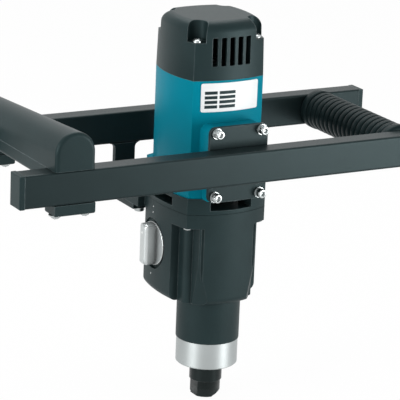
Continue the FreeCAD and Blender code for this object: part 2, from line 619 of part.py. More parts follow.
def motor_housing():
    centre = ("0", MOTOR_Y)
    body = solid("motor_shell", "XY_Plane", motor_outline(), HOUSING_Z, "housing_height")
    pad(body, "XY_Plane", flange_outline("flange_step"), HOUSING_Z, "housing_flange_height")
    boss = solid("motor_boss", "XZ_Plane",
                 rectangle(("-boss_half", "boss_half"), (HOUSING_Z, BOSS_TOP)),
                 f"-{MOTOR_Y} + housing_corner / 2", f"{MOTOR_Y} - housing_corner / 2 - {BOSS_FRONT}")
    top = value(BOSS_TOP)
    round_edges(boss, "boss_corner",
                lambda edge: edge.BoundBox.XLength < TOUCH and abs(edge.CenterOfMass.z - top) < TOUCH)
    chamber = f"({HOUSING_Z} + fan_chamber_height)"
    tools = [
        rod("housing_bore", "housing_bore", "z", CORE_Z, HOUSING_TOP, centre),
        rod("coil_bore", "window_outer + coil_clearance + coil_room", "z", chamber, CORE_Z, centre),
        rod("fan_bore", "fan_chamber_radius", "z", HOUSING_Z, chamber, centre),
        rod("bracket_seat", "bracket_seat_radius", "z", SEAT_Z, HOUSING_TOP, centre),
    ]
    for number, spot in enumerate(cover_screw_spots(), 1):
        tools.append(rod(f"housing_cover_hole{number}", "cover_screw_radius + screw_fit", "z",
                         f"{HOUSING_TOP} - cover_screw_reach - hole_end", HOUSING_TOP, spot))
    for number, spot in enumerate(gear_screw_spots(), 1):
        tools.append(rod(f"housing_gear_hole{number}", "gear_screw_radius + screw_fit", "z",
                         HOUSING_Z, f"{HOUSING_Z} + gear_screw_reach + hole_end", spot))
    for number, spot in enumerate(frame_bolt_spots(), 1):
        tools.append(rod(f"housing_bolt_hole{number}", "frame_bolt_radius + screw_fit", "y",
                         BOSS_FRONT, f"{BOSS_FRONT} + frame_bolt_reach + hole_end", spot))
    node("motor_housing", cut("motor_housing", fuse("motor_housing_blank", body, boss), *tools))


def top_cover():
    body = solid("cover_shell", "XY_Plane", motor_outline(), HOUSING_TOP, "cover_height", "-cover_taper")
    top = value(COVER_TOP)
    round_edges(body, "cover_edge", lambda edge: abs(edge.BoundBox.ZMin - top) < TOUCH)
    inner = solid("cover_cavity_blank", "XY_Plane", motor_outline("cover_wall"), HOUSING_TOP,
                  "cover_height - cover_wall", "-cover_taper")
    low = value(f"{COVER_TOP} - cover_wall")
    round_edges(inner, "cover_edge - cover_wall", lambda edge: abs(edge.BoundBox.ZMin - low) < TOUCH)
    columns = [
        rod(f"cover_column{number}", "niche_radius + cover_wall", "z", HOUSING_TOP, COVER_TOP, spot)
        for number, spot in enumerate(cover_screw_spots(), 1)
    ]
    tools = [cut("cover_cavity", inner, *columns)]
    for number, spot in enumerate(cover_screw_spots(), 1):
        tools.append(rod(f"cover_niche{number}", "niche_radius", "z", NICHE_Z, COVER_TOP, spot))
        tools.append(rod(f"cover_hole{number}", "cover_screw_radius + screw_fit", "z", HOUSING_TOP,
                         NICHE_Z, spot))
    count = round(value("vent_count"))
    for number in range(count):
        x = f"({number} - (vent_count - 1) / 2) * vent_pitch"
        z = (f"{HOUSING_TOP} + vent_lift", f"{HOUSING_TOP} + vent_lift + vent_height")
        outline = rounded_rectangle((f"{x} - vent_width / 2", f"{x} + vent_width / 2"), z, "vent_corner")
        tools.append(solid(f"cover_vent{number + 1}", "XZ_Plane", outline,
                           f"-{MOTOR_Y} + housing_corner / 2", "housing_corner"))
    node("top_cover", cut("top_cover", body, *tools))
    screws = [
        screw(f"cover_screw{number}", "z", NICHE_Z, "cover_screw_radius",
              f"{NICHE_Z} - {HOUSING_TOP} + cover_screw_reach", "cover_screw_head",
              "cover_screw_head_height", spot, -1)
        for number, spot in enumerate(cover_screw_spots(), 1)
    ]
    node("cover_screws", group("cover_screws", screws))


def rating_plate():
    centre = ("0", f"{HOUSING_FRONT} + housing_bow")
    low = f"({BOSS_TOP} + plate_rise)"
    high = f"({HOUSING_TOP} - plate_drop)"
    sheet = tube("rating_plate_sheet", "housing_bow + plate_thickness", "housing_bow + running_fit", "z",
                 low, high, centre)
    outline = rounded_rectangle(("-plate_width / 2", "plate_width / 2"), (low, high), "plate_corner")
    window = solid("rating_plate_outline", "XZ_Plane", outline, f"-{HOUSING_FRONT} - housing_corner / 2",
                   "housing_corner")
    node("rating_plate", common("rating_plate", sheet, window))


def field():
    centre = ("0", MOTOR_Y)
    core = tube("field_stack", "housing_bore - slip_fit", "field_inner", "z", CORE_Z, CORE_TOP, centre)
    windows = []
    coils = []
    for side, pole in (("front", 270), ("rear", 90)):
        bars = []
        half = value("pole_half_angle")
        sweep = value("window_sweep")
        margin = value("window_margin")
        for number, start in enumerate((pole - half, pole + half - sweep), 1):
            windows.append(tube(f"{side}_window{number}", "window_outer + coil_clearance",
                                "window_inner - coil_clearance", "z", CORE_Z, CORE_TOP, centre,
                                "window_sweep + 2 * window_margin", start - margin))
            bars.append(tube(f"{side}_coil_bar{number}", "window_outer", "window_inner", "z",
                             f"{CORE_Z} - coil_overhang", f"{CORE_TOP} + coil_overhang", centre,
                             "window_sweep", start))
        for end, low, high in (
            ("low", f"{CORE_Z} - coil_overhang", f"{CORE_Z} - coil_clearance"),
            ("high", f"{CORE_TOP} + coil_clearance", f"{CORE_TOP} + coil_overhang"),
        ):
            bars.append(tube(f"{side}_coil_{end}", "window_outer", "window_inner", "z", low, high, centre,
                             "2 * pole_half_angle", pole - half))
        coils.append(fuse(f"{side}_field_coil", *bars))
    node("field_core", cut("field_core", core, *windows))
    node("field_coils", group("field_coils", coils))


def armature():
    centre = ("0", MOTOR_Y)
    pinion_z = f"({DRIVEN_Z} - pinion_overlap)"
    pinion_top = f"({DRIVEN_TOP} + pinion_overlap)"
    pinion = gear("motor_pinion", "first_module", "pinion_teeth", "pinion_addendum", pinion_z,
                  f"{pinion_top} - {pinion_z}", MOTOR_Y, 90, False)
    shoulder = f"({DRIVE_BEARING_TOP} + gear_gap / 2)"
    tip = f"({END_BEARING_Z} + end_bearing_width)"
    step = f"({COMMUTATOR_TOP} + slip_fit)"
    outline = [
        ("0", pinion_top), ("drive_bearing_bore - running_fit", pinion_top),
        ("drive_bearing_bore - running_fit", shoulder), ("shaft_radius", shoulder),
        ("shaft_radius", step), ("end_bearing_bore - running_fit", step),
        ("end_bearing_bore - running_fit", tip), ("0", tip),
    ]
    stock = turned("armature_shaft_stock", outline, "z", centre)
    node("armature_shaft", fuse("armature_shaft", stock, pinion))
    stack = tube("armature_stack", "armature_radius", "shaft_radius + running_fit", "z", CORE_Z, CORE_TOP,
                 centre)
    count = round(value("armature_slots"))
    slots = []
    for number in range(count):
        angle = 360 * number / count
        spot = (f"armature_radius * cos({angle})", f"{MOTOR_Y} + armature_radius * sin({angle})")
        slots.append(rod(f"armature_slot{number + 1}", "armature_slot_radius", "z", CORE_Z, CORE_TOP, spot))
    node("armature_core", cut("armature_core", stack, *slots))
    windings = [
        tube(f"winding_{end}", "winding_radius", "shaft_radius + running_fit", "z", low, high, centre)
        for end, low, high in (
            ("low", f"{CORE_Z} - winding_height", CORE_Z), ("high", CORE_TOP, WINDING_TOP),
        )
    ]
    node("armature_windings", group("armature_windings", windings))
    drum = tube("commutator_drum", "commutator_radius", "shaft_radius + running_fit", "z", COMMUTATOR_Z,
                COMMUTATOR_TOP, centre)
    collar = tube("commutator_collar", "shaft_radius + holder_wall", "shaft_radius + running_fit", "z",
                  WINDING_TOP, COMMUTATOR_Z, centre)
    node("commutator", fuse("commutator", drum, collar))


def cooling_fan():
    centre = ("0", MOTOR_Y)
    low = f"({HOUSING_Z} + fan_lift)"
    high = f"({low} + fan_height)"
    bore = "shaft_radius + running_fit"
    disc = rod("fan_disc", "fan_radius", "z", f"{high} - fan_disc", high, centre)
    hub = rod("fan_hub", "fan_hub_radius", "z", low, high, centre)
    blades = []
    count = round(value("fan_blades"))
    for number in range(count):
        blade = DOC.addObject("Part::Box", f"fan_blade{number + 1}")
        tie(blade, "Length", "fan_radius - fan_hub_radius")
        tie(blade, "Width", "fan_blade_thickness")
        tie(blade, "Height", "fan_height")
        angle = 360 * number / count
        blade.Placement = FreeCAD.Placement(Vector(), FreeCAD.Rotation(Vector(0, 0, 1), angle))
        root = "(fan_hub_radius - fan_blade_root)"
        place(blade, f"{root} * cos({angle})", f"{MOTOR_Y} + {root} * sin({angle})", low)
        blades.append(blade)
    blank = fuse("fan_blank", disc, hub, *blades)
    node("cooling_fan", cut("cooling_fan", blank, rod("fan_shaft_hole", bore, "z", low, high, centre)))


def end_bracket_and_brushes():
    centre = ("0", MOTOR_Y)
    disc = rod("end_bracket_disc", "bracket_seat_radius - slip_fit", "z", SEAT_Z, HOUSING_TOP, centre)
    hub = rod("end_bracket_hub", "end_bearing_radius + hub_wall", "z", SEAT_Z, f"{SEAT_Z} + hub_height",
              centre)
    pocket = rod("end_bearing_seat", "end_bearing_radius + running_fit", "z", END_BEARING_Z,
                 f"{SEAT_Z} + hub_height", centre)
    hole = rod("end_bracket_hole", "shaft_radius + gear_gap", "z", SEAT_Z, END_BEARING_Z, centre)
    half_sweep = value("bracket_window_sweep") / 2
    windows = [
        tube(f"end_bracket_{side}_window", "bracket_seat_radius - hub_wall * 2",
             "end_bearing_radius + hub_wall * 2", "z", SEAT_Z, HOUSING_TOP, centre, "bracket_window_sweep",
             middle - half_sweep)
        for side, middle in (("rear", 90), ("front", 270))
    ]
    node("end_bracket", cut("end_bracket", fuse("end_bracket_blank", disc, hub), pocket, hole, *windows))
    middle = f"({COMMUTATOR_Z} + {COMMUTATOR_TOP}) / 2"
    face = "(commutator_radius + moving_gap)"
    back = f"({face} + brush_length)"
    holders = []
    brushes = []
    for side, sign in (("left", -1), ("right", 1)):
        brush_x = (face, back) if sign > 0 else (f"-{back}", f"-{face}")
        case_low = f"({face} + gear_gap)"
        case_high = f"({back} + holder_wall)"
        case_x = (case_low, case_high) if sign > 0 else (f"-{case_high}", f"-{case_low}")
        half_y = "(brush_width / 2 + slip_fit)"
        half_z = "(brush_height / 2 + slip_fit)"
        case = block(f"{side}_holder_case", case_x,
                     (f"{MOTOR_Y} - {half_y} - holder_wall", f"{MOTOR_Y} + {half_y} + holder_wall"),
                     (f"{middle} - {half_z} - holder_wall", f"{middle} + {half_z} + holder_wall"))
        post = block(f"{side}_holder_post", case_x,
                     (f"{MOTOR_Y} - holder_post / 2", f"{MOTOR_Y} + holder_post / 2"),
                     (f"{middle} + {half_z} + holder_wall / 2", SEAT_Z))
        slot_x = (case_low, back + " + slip_fit") if sign > 0 else (f"-{back} - slip_fit", f"-{case_low}")
        slot = block(f"{side}_holder_slot", slot_x, (f"{MOTOR_Y} - {half_y}", f"{MOTOR_Y} + {half_y}"),
                     (f"{middle} - {half_z}", f"{middle} + {half_z}"))
        holders.append(cut(f"{side}_brush_holder", fuse(f"{side}_holder_blank", case, post), slot))
        brushes.append(block(f"{side}_brush", brush_x,
                             (f"{MOTOR_Y} - brush_width / 2", f"{MOTOR_Y} + brush_width / 2"),
                             (f"{middle} - brush_height / 2", f"{middle} + brush_height / 2")))
    node("brush_holders", group("brush_holders", holders))
    node("carbon_brushes", group("carbon_brushes", brushes))
    bearing("armature_upper_bearing", "end_bearing_bore", "end_bearing_radius", "end_bearing_width",
            END_BEARING_Z, centre)
    bearing("armature_lower_bearing", "drive_bearing_bore", "drive_bearing_radius", "drive_bearing_width",
            DRIVE_BEARING_Z, centre)


def gear_housing_cover():
    centre = ("0", MOTOR_Y)
    rim = solid("gear_cover_rim", "XY_Plane", flange_outline(), PARTING_Z, "gear_cover_height")
    skirt_low = f"({PLATE_TOP} + slip_fit)"
    skirt_height = f"{PARTING_Z} - {skirt_low}"
    skirt = cut("gear_cover_skirt",
                solid("gear_cover_skirt_blank", "XY_Plane", chamber_outline("slip_fit"), skirt_low,
                      skirt_height),
                solid("gear_cover_skirt_bore", "XY_Plane", chamber_outline("slip_fit + skirt_wall"),
                      skirt_low, skirt_height),
                *corner_rooms("gear_cover", skirt_low, PARTING_Z, "notch_wall + slip_fit",
                              "flute_wall + slip_fit"))
    hub = rod("drive_hub", "drive_bearing_radius + hub_wall", "z", CHAMBER_Z, DRIVE_BEARING_TOP, centre)
    chamber = cut("exhaust_chamber",
                  rod("exhaust_room", "fan_chamber_radius", "z", CHAMBER_Z, HOUSING_Z, centre), hub)
    slot_z = (f"{CHAMBER_Z} + exhaust_sill", f"{CHAMBER_Z} + exhaust_sill + exhaust_height")
    inner = "(drive_bearing_radius + 2 * hub_wall)"
    front_slot = block("front_exhaust", ("-exhaust_half", "exhaust_half"),
                       (f"{MOTOR_Y} - 2 * housing_corner", f"{MOTOR_Y} - {inner}"), slot_z)
    side_slots = [
        block(f"{side}_exhaust", ends, (f"{MOTOR_Y} - exhaust_half", f"{MOTOR_Y} + exhaust_half"), slot_z)
        for side, ends in (
            ("left", ("-2 * flange_corner_x", f"-{inner}")),
            ("right", (inner, "2 * flange_corner_x")),
        )
    ]
    seat = rod("drive_bearing_seat", "drive_bearing_radius + running_fit", "z", DRIVE_BEARING_Z,
               HOUSING_Z, centre)
    hole = rod("drive_shaft_hole", "drive_bearing_bore + gear_gap", "z", PARTING_Z, DRIVE_BEARING_Z, centre)
    holes = [
        rod(f"gear_cover_hole{number}", "gear_screw_radius + screw_fit", "z", PARTING_Z, HOUSING_Z, spot)
        for number, spot in enumerate(gear_screw_spots(), 1)
    ]
    node("gear_housing_cover",
         cut("gear_housing_cover", fuse("gear_cover_blank", rim, skirt), chamber, front_slot, *side_slots,
             seat, hole, *holes))


def gear_housing():
    shell = solid("gear_shell", "XY_Plane", flange_outline(), GEAR_BOTTOM, f"{PARTING_Z} - {GEAR_BOTTOM}")
    low = value(GEAR_BOTTOM)
    round_edges(shell, "gear_bottom_edge", lambda edge: abs(edge.BoundBox.ZMax - low) < TOUCH)
    nose = rod("gear_nose", "nose_radius", "z", "nose_bottom", FLOOR, ("0", "0"))
    lugs = []
    for side, sign in (("left", -1), ("right", 1)):
        lug_x = (f"{sign} * bracket_x - bracket_width / 2", f"{sign} * bracket_x + bracket_width / 2")
        lugs.append(block(f"{side}_lug", lug_x, ("gear_screw_rear_y", LUG_REAR), (FLANGE_Z, PARTING_Z)))
    cavity_low = solid("gear_cavity_low", "XY_Plane", chamber_outline("ledge"), FLOOR,
                       f"{PLATE_Z} - {FLOOR}")
    cavity_high = solid("gear_cavity_high", "XY_Plane", chamber_outline(), PLATE_Z,
                        f"{PARTING_Z} - {PLATE_Z}")
    cavity = cut("gear_cavity", fuse("gear_cavity_blank", cavity_low, cavity_high),
                 *corner_rooms("gear_cavity", FLOOR, PARTING_Z, "notch_wall", "flute_wall"))
    outside = "-(knob_seat_x + knob_disc + knob_grip_height)"
    groove_y = ("flange_front_y + sqrt(flange_front_bow^2 - flange_corner_x^2)"
                " - sqrt(flange_front_bow^2 - pad_groove_x^2)")
    tools = [
        cavity,
        rod("nose_bearing_seat", "nose_bearing_radius + running_fit", "z", "nose_bottom", NOSE_BEARING_TOP,
            ("0", "0")),
        rod("nose_bore", "nose_bore", "z", NOSE_BEARING_TOP, FLOOR, ("0", "0")),
        rod("counter_foot_seat", "counter_foot_bearing_radius + running_fit", "z",
            f"{FLOOR} - counter_foot_bearing_width", FLOOR, ("0", COUNTER_Y)),
        rod("knob_seat", "knob_seat_radius", "x", outside, "-knob_seat_x", ("knob_y", KNOB_Z)),
        rod("knob_hole", "knob_shaft_radius + running_fit", "x", outside, "-chamber_corner_x / 2",
            ("knob_y", KNOB_Z)),
        rod("rod_seat", "rod_radius + running_fit", "z", f"{FLOOR} - floor_thickness / 2", FLOOR,
            ("-rod_x", "rod_y")),
    ]
    tools += corner_rooms("gear_housing", GEAR_BOTTOM, FLANGE_Z)
    tools += nose_facets()
    spots = list(gear_screw_spots())
    for number, spot in enumerate(spots, 1):
        tools.append(rod(f"gear_hole{number}", "gear_screw_radius + screw_fit", "z", FLANGE_Z, PARTING_Z,
                         spot))
    for side, sign in (("left", -1), ("right", 1)):
        tools.append(rod(f"{side}_pad_groove", "pad_groove_radius", "z", GEAR_BOTTOM, FLANGE_Z,
                         (f"{sign} * pad_groove_x", groove_y)))
        tools.append(rod(f"{side}_lug_hole", "bracket_bolt_radius + screw_fit", "z", FLANGE_Z,
                         f"{FLANGE_Z} + bracket_bolt_reach + hole_end",
                         (f"{sign} * bracket_x", "bracket_bolt_y")))
    blank = fuse("gear_housing_blank", shell, nose, *lugs)
    node("gear_housing", cut("gear_housing", blank, *tools))
    screws = [
        screw(f"gear_screw{number}", "z", FLANGE_Z, "gear_screw_radius",
              f"{HOUSING_Z} + gear_screw_reach - {FLANGE_Z}", "gear_screw_head",
              "gear_screw_head_height", spot)
        for number, spot in enumerate(spots, 1)
    ]
    node("gear_housing_screws", group("gear_housing_screws", screws))


def bearing_plate():
    blank = solid("bearing_plate_blank", "XY_Plane", chamber_outline("slip_fit"), PLATE_Z,
                  "bearing_plate_thickness")
    tools = corner_rooms("bearing_plate", PLATE_Z, PLATE_TOP, "notch_wall + slip_fit",
                         "flute_wall + slip_fit")
    tools += [
        rod("top_bearing_seat", "top_bearing_radius + running_fit", "z", PLATE_Z,
            f"{PLATE_Z} + top_bearing_width", ("0", "0")),
        rod("counter_head_seat", "counter_head_bearing_radius + running_fit", "z", PLATE_Z,
            f"{PLATE_Z} + counter_head_bearing_width", ("0", COUNTER_Y)),
        rod("counter_head_hole", "counter_top_radius + gear_gap", "z", PLATE_Z, PLATE_TOP,
            ("0", COUNTER_Y)),
        rod("rod_hole", "rod_radius + running_fit", "z", PLATE_Z, PLATE_TOP, ("-rod_x", "rod_y")),
    ]
    node("bearing_plate", cut("bearing_plate", blank, *tools))
    bearing("spindle_upper_bearing", "spindle_top_journal", "top_bearing_radius", "top_bearing_width",
            PLATE_Z, ("0", "0"))
    bearing("countershaft_upper_bearing", "counter_top_radius", "counter_head_bearing_radius",
            "counter_head_bearing_width", PLATE_Z, ("0", COUNTER_Y))
    bearing("countershaft_lower_bearing", "counter_foot_radius", "counter_foot_bearing_radius",
            "counter_foot_bearing_width", f"{FLOOR} - counter_foot_bearing_width", ("0", COUNTER_Y))


def countershaft():
    centre = ("0", COUNTER_Y)
    foot = f"({FLOOR} - counter_foot_bearing_width)"
    shoulder = f"({FLOOR} + gear_gap / 4)"
    neck = f"({PLATE_Z} - gear_gap / 4)"
    tip = f"({DRIVEN_TOP} + gear_gap)"
    outline = [
        ("0", foot), ("counter_foot_radius - running_fit", foot),
        ("counter_foot_radius - running_fit", shoulder), ("counter_radius", shoulder),
        ("counter_radius", neck), ("counter_top_radius - running_fit", neck),
        ("counter_top_radius - running_fit", tip), ("0", tip),
    ]
    low = gear("low_pinion", "second_module", "low_pinion_teeth", "pinion_addendum",
               f"{LOW_Z} - gear_gap / 4", "low_gear_width + gear_gap / 2", COUNTER_Y, 270, False)
    high = gear("high_pinion", "second_module", HIGH_PINION_TEETH, "pinion_addendum", HIGH_Z,
                f"{neck} - {HIGH_Z}", COUNTER_Y, 270, False)
    stock = turned("countershaft_stock", outline, "z", centre)
    node("countershaft", fuse("countershaft", stock, low, high))
    wheel = gear("driven_wheel", "first_module", "driven_teeth", "wheel_addendum", DRIVEN_Z, "driven_width",
                 COUNTER_Y, 270, True)
    hub_z = f"{PLATE_Z} + counter_head_bearing_width"
    hub = rod("driven_hub", "counter_top_radius + holder_wall", "z", hub_z, DRIVEN_Z, centre)
    bore = rod("driven_bore", "counter_top_radius", "z", hub_z, DRIVEN_TOP, centre)
    node("driven_gear", cut("driven_gear", fuse("driven_blank", wheel, hub), bore))


def dogs(name, low, turn):
    count = round(value("dog_count"))
    return [
        tube(f"{name}{number + 1}", "dog_outer", "dog_inner", "z", low, f"{low} + dog_height", ("0", "0"),
             "dog_sweep", turn + 360 * number / count)
        for number in range(count)
    ]


def spindle():
    centre = ("0", "0")
    sleeve_zone = f"({HIGH_Z} - slip_fit)"
    tip = f"({PLATE_Z} + top_bearing_width)"
    step = f"({HIGH_TOP} + gear_gap / 4)"
    outline = [
        ("0", "0"), ("spindle_tip_radius - spindle_chamfer", "0"),
        ("spindle_tip_radius", "spindle_chamfer"), ("spindle_tip_radius", "spindle_tip"),
        ("spindle_radius", "spindle_tip"), ("spindle_radius", NOSE_BEARING_Z),
        ("spindle_journal - running_fit", NOSE_BEARING_Z), ("spindle_journal - running_fit", sleeve_zone),
        ("spindle_neck - running_fit", sleeve_zone), ("spindle_neck - running_fit", step),
        ("spindle_top_journal - running_fit", step), ("spindle_top_journal - running_fit", tip), ("0", tip),
    ]
    stock = turned("spindle_stock", outline, "z", centre)
    tools = [rod("spindle_thread", "thread_radius", "z", "0", "thread_depth", centre)]
    for side, sign in (("left", -1), ("right", 1)):
        ends = ("spindle_flat_half", "spindle_radius * 2")
        spline = ("spline_half - slip_fit", "spindle_radius * 2")
        if sign < 0:
            ends = tuple(f"-({text})" for text in reversed(ends))
            spline = tuple(f"-({text})" for text in reversed(spline))
        wide = ("-spindle_radius", "spindle_radius")
        tools.append(block(f"{side}_wrench_flat", ends, wide, ("0", "spindle_tip")))
        tools.append(block(f"{side}_spline_flat", spline, wide, (SLEEVE_TIP, sleeve_zone)))
    node("spindle", cut("spindle", stock, *tools))
    node("spacer_tube", tube("spacer_tube", "spacer_radius", "spindle_journal", "z", NOSE_BEARING_TOP,
                             f"{LOW_Z} - slip_fit", centre))
    bearing("spindle_lower_bearing", "spindle_journal", "nose_bearing_radius", "nose_bearing_width",
            NOSE_BEARING_Z, centre)


def spindle_gears():
    centre = ("0", "0")
    low = gear("low_wheel", "second_module", "low_gear_teeth", "low_wheel_addendum", LOW_Z,
               "low_gear_width", "0", 90, True)
    low_bore = rod("low_bore", "spindle_journal", "z", LOW_Z, LOW_TOP, centre)
    node("low_gear", cut("low_gear", fuse("low_blank", low, *dogs("low_dog", LOW_TOP, 0)), low_bore))
    high = gear("high_wheel", "second_module", "high_gear_teeth", "low_wheel_addendum", HIGH_Z,
                "high_gear_width", "0", 90, True)
    high_bore = rod("high_bore", "spindle_neck", "z", HIGH_Z, HIGH_TOP, centre)
    node("high_gear", cut("high_gear", fuse("high_blank", high, *dogs("high_dog", HIGH_DOG, 0)), high_bore))


def clutch_sleeve():
    centre = ("0", "0")
    drum = rod("sleeve_drum", "dog_outer", "z", SLEEVE_Z, SLEEVE_TOP, centre)
    between = 180 / value("dog_count")
    lower = dogs("sleeve_low_dog", SLEEVE_TIP, between)
    upper = dogs("sleeve_high_dog", SLEEVE_TOP, between)
    groove_low = f"({SLEEVE_Z} + {SLEEVE_TOP} - sleeve_groove) / 2"
    groove = tube("sleeve_groove", "dog_outer * 2", "dog_outer - sleeve_groove_depth", "z", groove_low,
                  f"{groove_low} + sleeve_groove", centre)
    bore_round = rod("sleeve_bore_round", "spindle_journal + running_fit", "z", SLEEVE_Z, SLEEVE_TOP,
                     centre)
    bore_flats = block("sleeve_bore_flats", ("-spline_half", "spline_half"),
                       ("-spindle_radius", "spindle_radius"), (SLEEVE_Z, SLEEVE_TOP))
    bore = common("sleeve_bore", bore_round, bore_flats)
    node("clutch_sleeve", cut("clutch_sleeve", fuse("sleeve_blank", drum, *lower, *upper), groove, bore))


def shift_fork():
    centre = ("0", "0")
    middle = f"({SLEEVE_Z} + {SLEEVE_TOP}) / 2"
    low = f"({middle} - fork_thickness / 2)"
    high = f"({middle} + fork_thickness / 2)"
    inner = "(dog_outer - sleeve_groove_depth + moving_gap)"
    jaw_ring = tube("fork_jaw_ring", "dog_outer + fork_reach", inner, "z", low, high, centre)
    jaw_half = block("fork_jaw_half", ("-2 * dog_outer", "-dog_inner / 4"),
                     ("-2 * dog_outer", "2 * dog_outer"), (low, high))
    jaw = common("fork_jaw", jaw_ring, jaw_half)
    arm = block("fork_arm", ("-rod_x", f"-{inner} - sleeve_groove_depth"),
                ("-rod_radius", "rod_y + rod_radius"), (low, high))
    hub = rod("fork_hub", "rod_radius + fork_hub_wall", "z", low, f"{low} + fork_hub_height",
              ("-rod_x", "rod_y"))
    slot_z = f"({KNOB_Z} - selector_throw)"
    half_slot = "(selector_pin + selector_slack)"
    plate_x = ("-fork_plate_x - fork_plate_thickness", "-fork_plate_x")
    plate = block("fork_plate", plate_x, ("rod_y", "knob_y + selector_slot / 2 + fork_plate_margin"),
                  (low, f"{slot_z} + {half_slot} + fork_plate_margin"))
    slot = block("fork_slot", plate_x, ("knob_y - selector_slot / 2", "knob_y + selector_slot / 2"),
                 (f"{slot_z} - {half_slot}", f"{slot_z} + {half_slot}"))
    bore = rod("fork_bore", "rod_radius + running_fit", "z", low, f"{low} + 2 * fork_hub_height",
               ("-rod_x", "rod_y"))
    node("shift_fork", cut("shift_fork", fuse("fork_blank", jaw, arm, hub, plate), slot, bore))
    node("fork_rod", rod("fork_rod", "rod_radius", "z", f"{FLOOR} - floor_thickness / 2", PLATE_TOP,
                         ("-rod_x", "rod_y")))


def speed_knob():
    axis = ("knob_y", KNOB_Z)
    back = "(knob_seat_x + slip_fit)"
    front = f"({back} + knob_disc)"
    end = "(fork_plate_x + fork_plate_thickness + moving_gap)"
    blank = rod("knob_blank", "knob_radius", "x", f"-{front} - knob_grip_height", f"-{back}", axis)
    flank = "(knob_radius - knob_grip_width / 2)"
    hollows = [
        rod(f"knob_{side}_hollow", flank, "z", f"{KNOB_Z} - knob_radius", f"{KNOB_Z} + knob_radius",
            (f"-{front} - {flank}", f"knob_y + {sign} * knob_radius"))
        for side, sign in (("front", -1), ("rear", 1))
    ]
    shaft = rod("knob_shaft", "knob_shaft_radius", "x", f"-{back}", f"-{end}", axis)
    pin = rod("knob_pin", "selector_pin", "x", f"-{end}", "-fork_plate_x",
              ("knob_y", f"{KNOB_Z} - selector_throw"))
    node("speed_knob", fuse("speed_knob", cut("knob_grip", blank, *hollows), shaft, pin))


def nose_ring():
    centre = ("0", "0")
    seal_z = f"({RING_Z} + seal_lift)"
    outline = [
        ("ring_bore", RING_Z), ("ring_radius - ring_edge", RING_Z),
        ("ring_radius", f"{RING_Z} + ring_edge"), ("ring_radius", "nose_bottom - slip_fit"),
        ("nose_bearing_radius - slip_fit", "nose_bottom - slip_fit"),
        ("nose_bearing_radius - slip_fit", NOSE_BEARING_Z), ("seal_radius", NOSE_BEARING_Z),
        ("seal_radius", seal_z), ("ring_bore", seal_z),
    ]
    node("nose_ring", turned("nose_ring", outline, "z", centre))
    node("oil_seal", tube("oil_seal", "seal_radius - running_fit", "spindle_radius + running_fit", "z",
                          seal_z, f"{seal_z} + seal_width", centre))


def arch(name, inset, short):
    """Round topped bar that drops towards the rear, drawn in by an inset and short at both ends."""
    half = f"(handle_half - ({inset}))"
    base = f"({BAR_TOP} - handle_drop * (1 - {short} / frame_depth))"
    side = f"({base} + handle_side)"
    outline = [
        (f"{HANDLE_X} - {half}", base), (f"{HANDLE_X} + {half}", base),
        (f"{HANDLE_X} + {half}", side, half), (HANDLE_X, f"{side} + {half}", half),
        (f"{HANDLE_X} - {half}", side),
    ]
    body = solid(name, "XZ_Plane", outline, f"-{REAR_OUT} + {short}", f"frame_depth - 2 * {short}")
    body.Tip.UseCustomVector = True
    body.Tip.Direction = Vector(0, -value("frame_depth"), value("handle_drop"))
    return body


def handle_upper():
    body = arch("handle_shell", "0", "0")
    round_edges(body, "handle_edge",
                lambda edge: edge.BoundBox.YLength < TOUCH < edge.BoundBox.ZLength)
    seat = block("handle_seat", (f"{HANDLE_X} - 2 * handle_half", f"{HANDLE_X} + 2 * handle_half"),
                 (f"{FRONT_OUT} - handle_wall", f"{REAR_OUT} + handle_wall"),
                 (f"{BAR_TOP} - 2 * handle_drop", BAR_TOP))
    tools = [seat, arch("handle_cavity", "handle_wall", "handle_end")]
    for side, low, high in (("front", FRONT_OUT, FRONT_IN), ("rear", REAR_IN, REAR_OUT)):
        for sign in (-1, 1):
            tools.append(rod(f"handle_{side}_foot_hole", "foot_screw_radius + screw_fit", "z", BAR_TOP,
                             f"{BAR_TOP} + foot_screw_reach + hole_end",
                             (f"{HANDLE_X} + {sign} * {FOOT_SCREW_X}", f"({low} + {high}) / 2")))
    for number, spot in enumerate(handle_screw_spots(), 1):
        tools.append(rod(f"handle_screw_hole{number}", "handle_screw_radius + screw_fit", "z", BAR_TOP,
                         f"{BAR_TOP} + handle_screw_reach + hole_end", spot))
    tools.append(rod("button_hole", "button_radius + moving_gap", "x",
                     f"{HANDLE_X} + handle_half - 2 * handle_wall", f"{HANDLE_X} + handle_half",
                     (FRAME_MID, f"{BAR_TOP} + button_lift")))
    tools.append(rod("inlet_hole", "inlet_radius + slip_fit", "y", f"{REAR_OUT} - inlet_depth", REAR_OUT,
                     (HANDLE_X, f"{BAR_TOP} + inlet_lift")))
    tools.append(rod("inlet_lead_hole", "inlet_bore", "y", f"{REAR_OUT} - handle_end - hole_end", REAR_OUT,
                     (HANDLE_X, f"{BAR_TOP} + inlet_lift")))
    node("handle_upper", cut("handle_upper", body, *tools))
    inlet = tube("cord_inlet_bush", "inlet_radius", "inlet_bore", "y", f"{REAR_OUT} - inlet_depth",
                 f"{REAR_OUT} + inlet_proud", (HANDLE_X, f"{BAR_TOP} + inlet_lift"))
    node("cord_inlet", inlet)


def handle_screw_spots():
    for y in (f"{FRONT_IN} + handle_screw_inset", f"{REAR_IN} - handle_screw_inset"):
        yield HANDLE_X, y


TRIGGER_FRONT = f"({FRAME_MID} - trigger_length / 2)"
TRIGGER_REAR = f"({FRAME_MID} + trigger_length / 2)"
TRIGGER_TOP = f"({BAR_TOP} - belly_wall)"
TRIGGER_PIN_Y = f"({TRIGGER_REAR} - trigger_tail)"
TRIGGER_PIN_Z = f"({TRIGGER_TOP} - trigger_tail)"


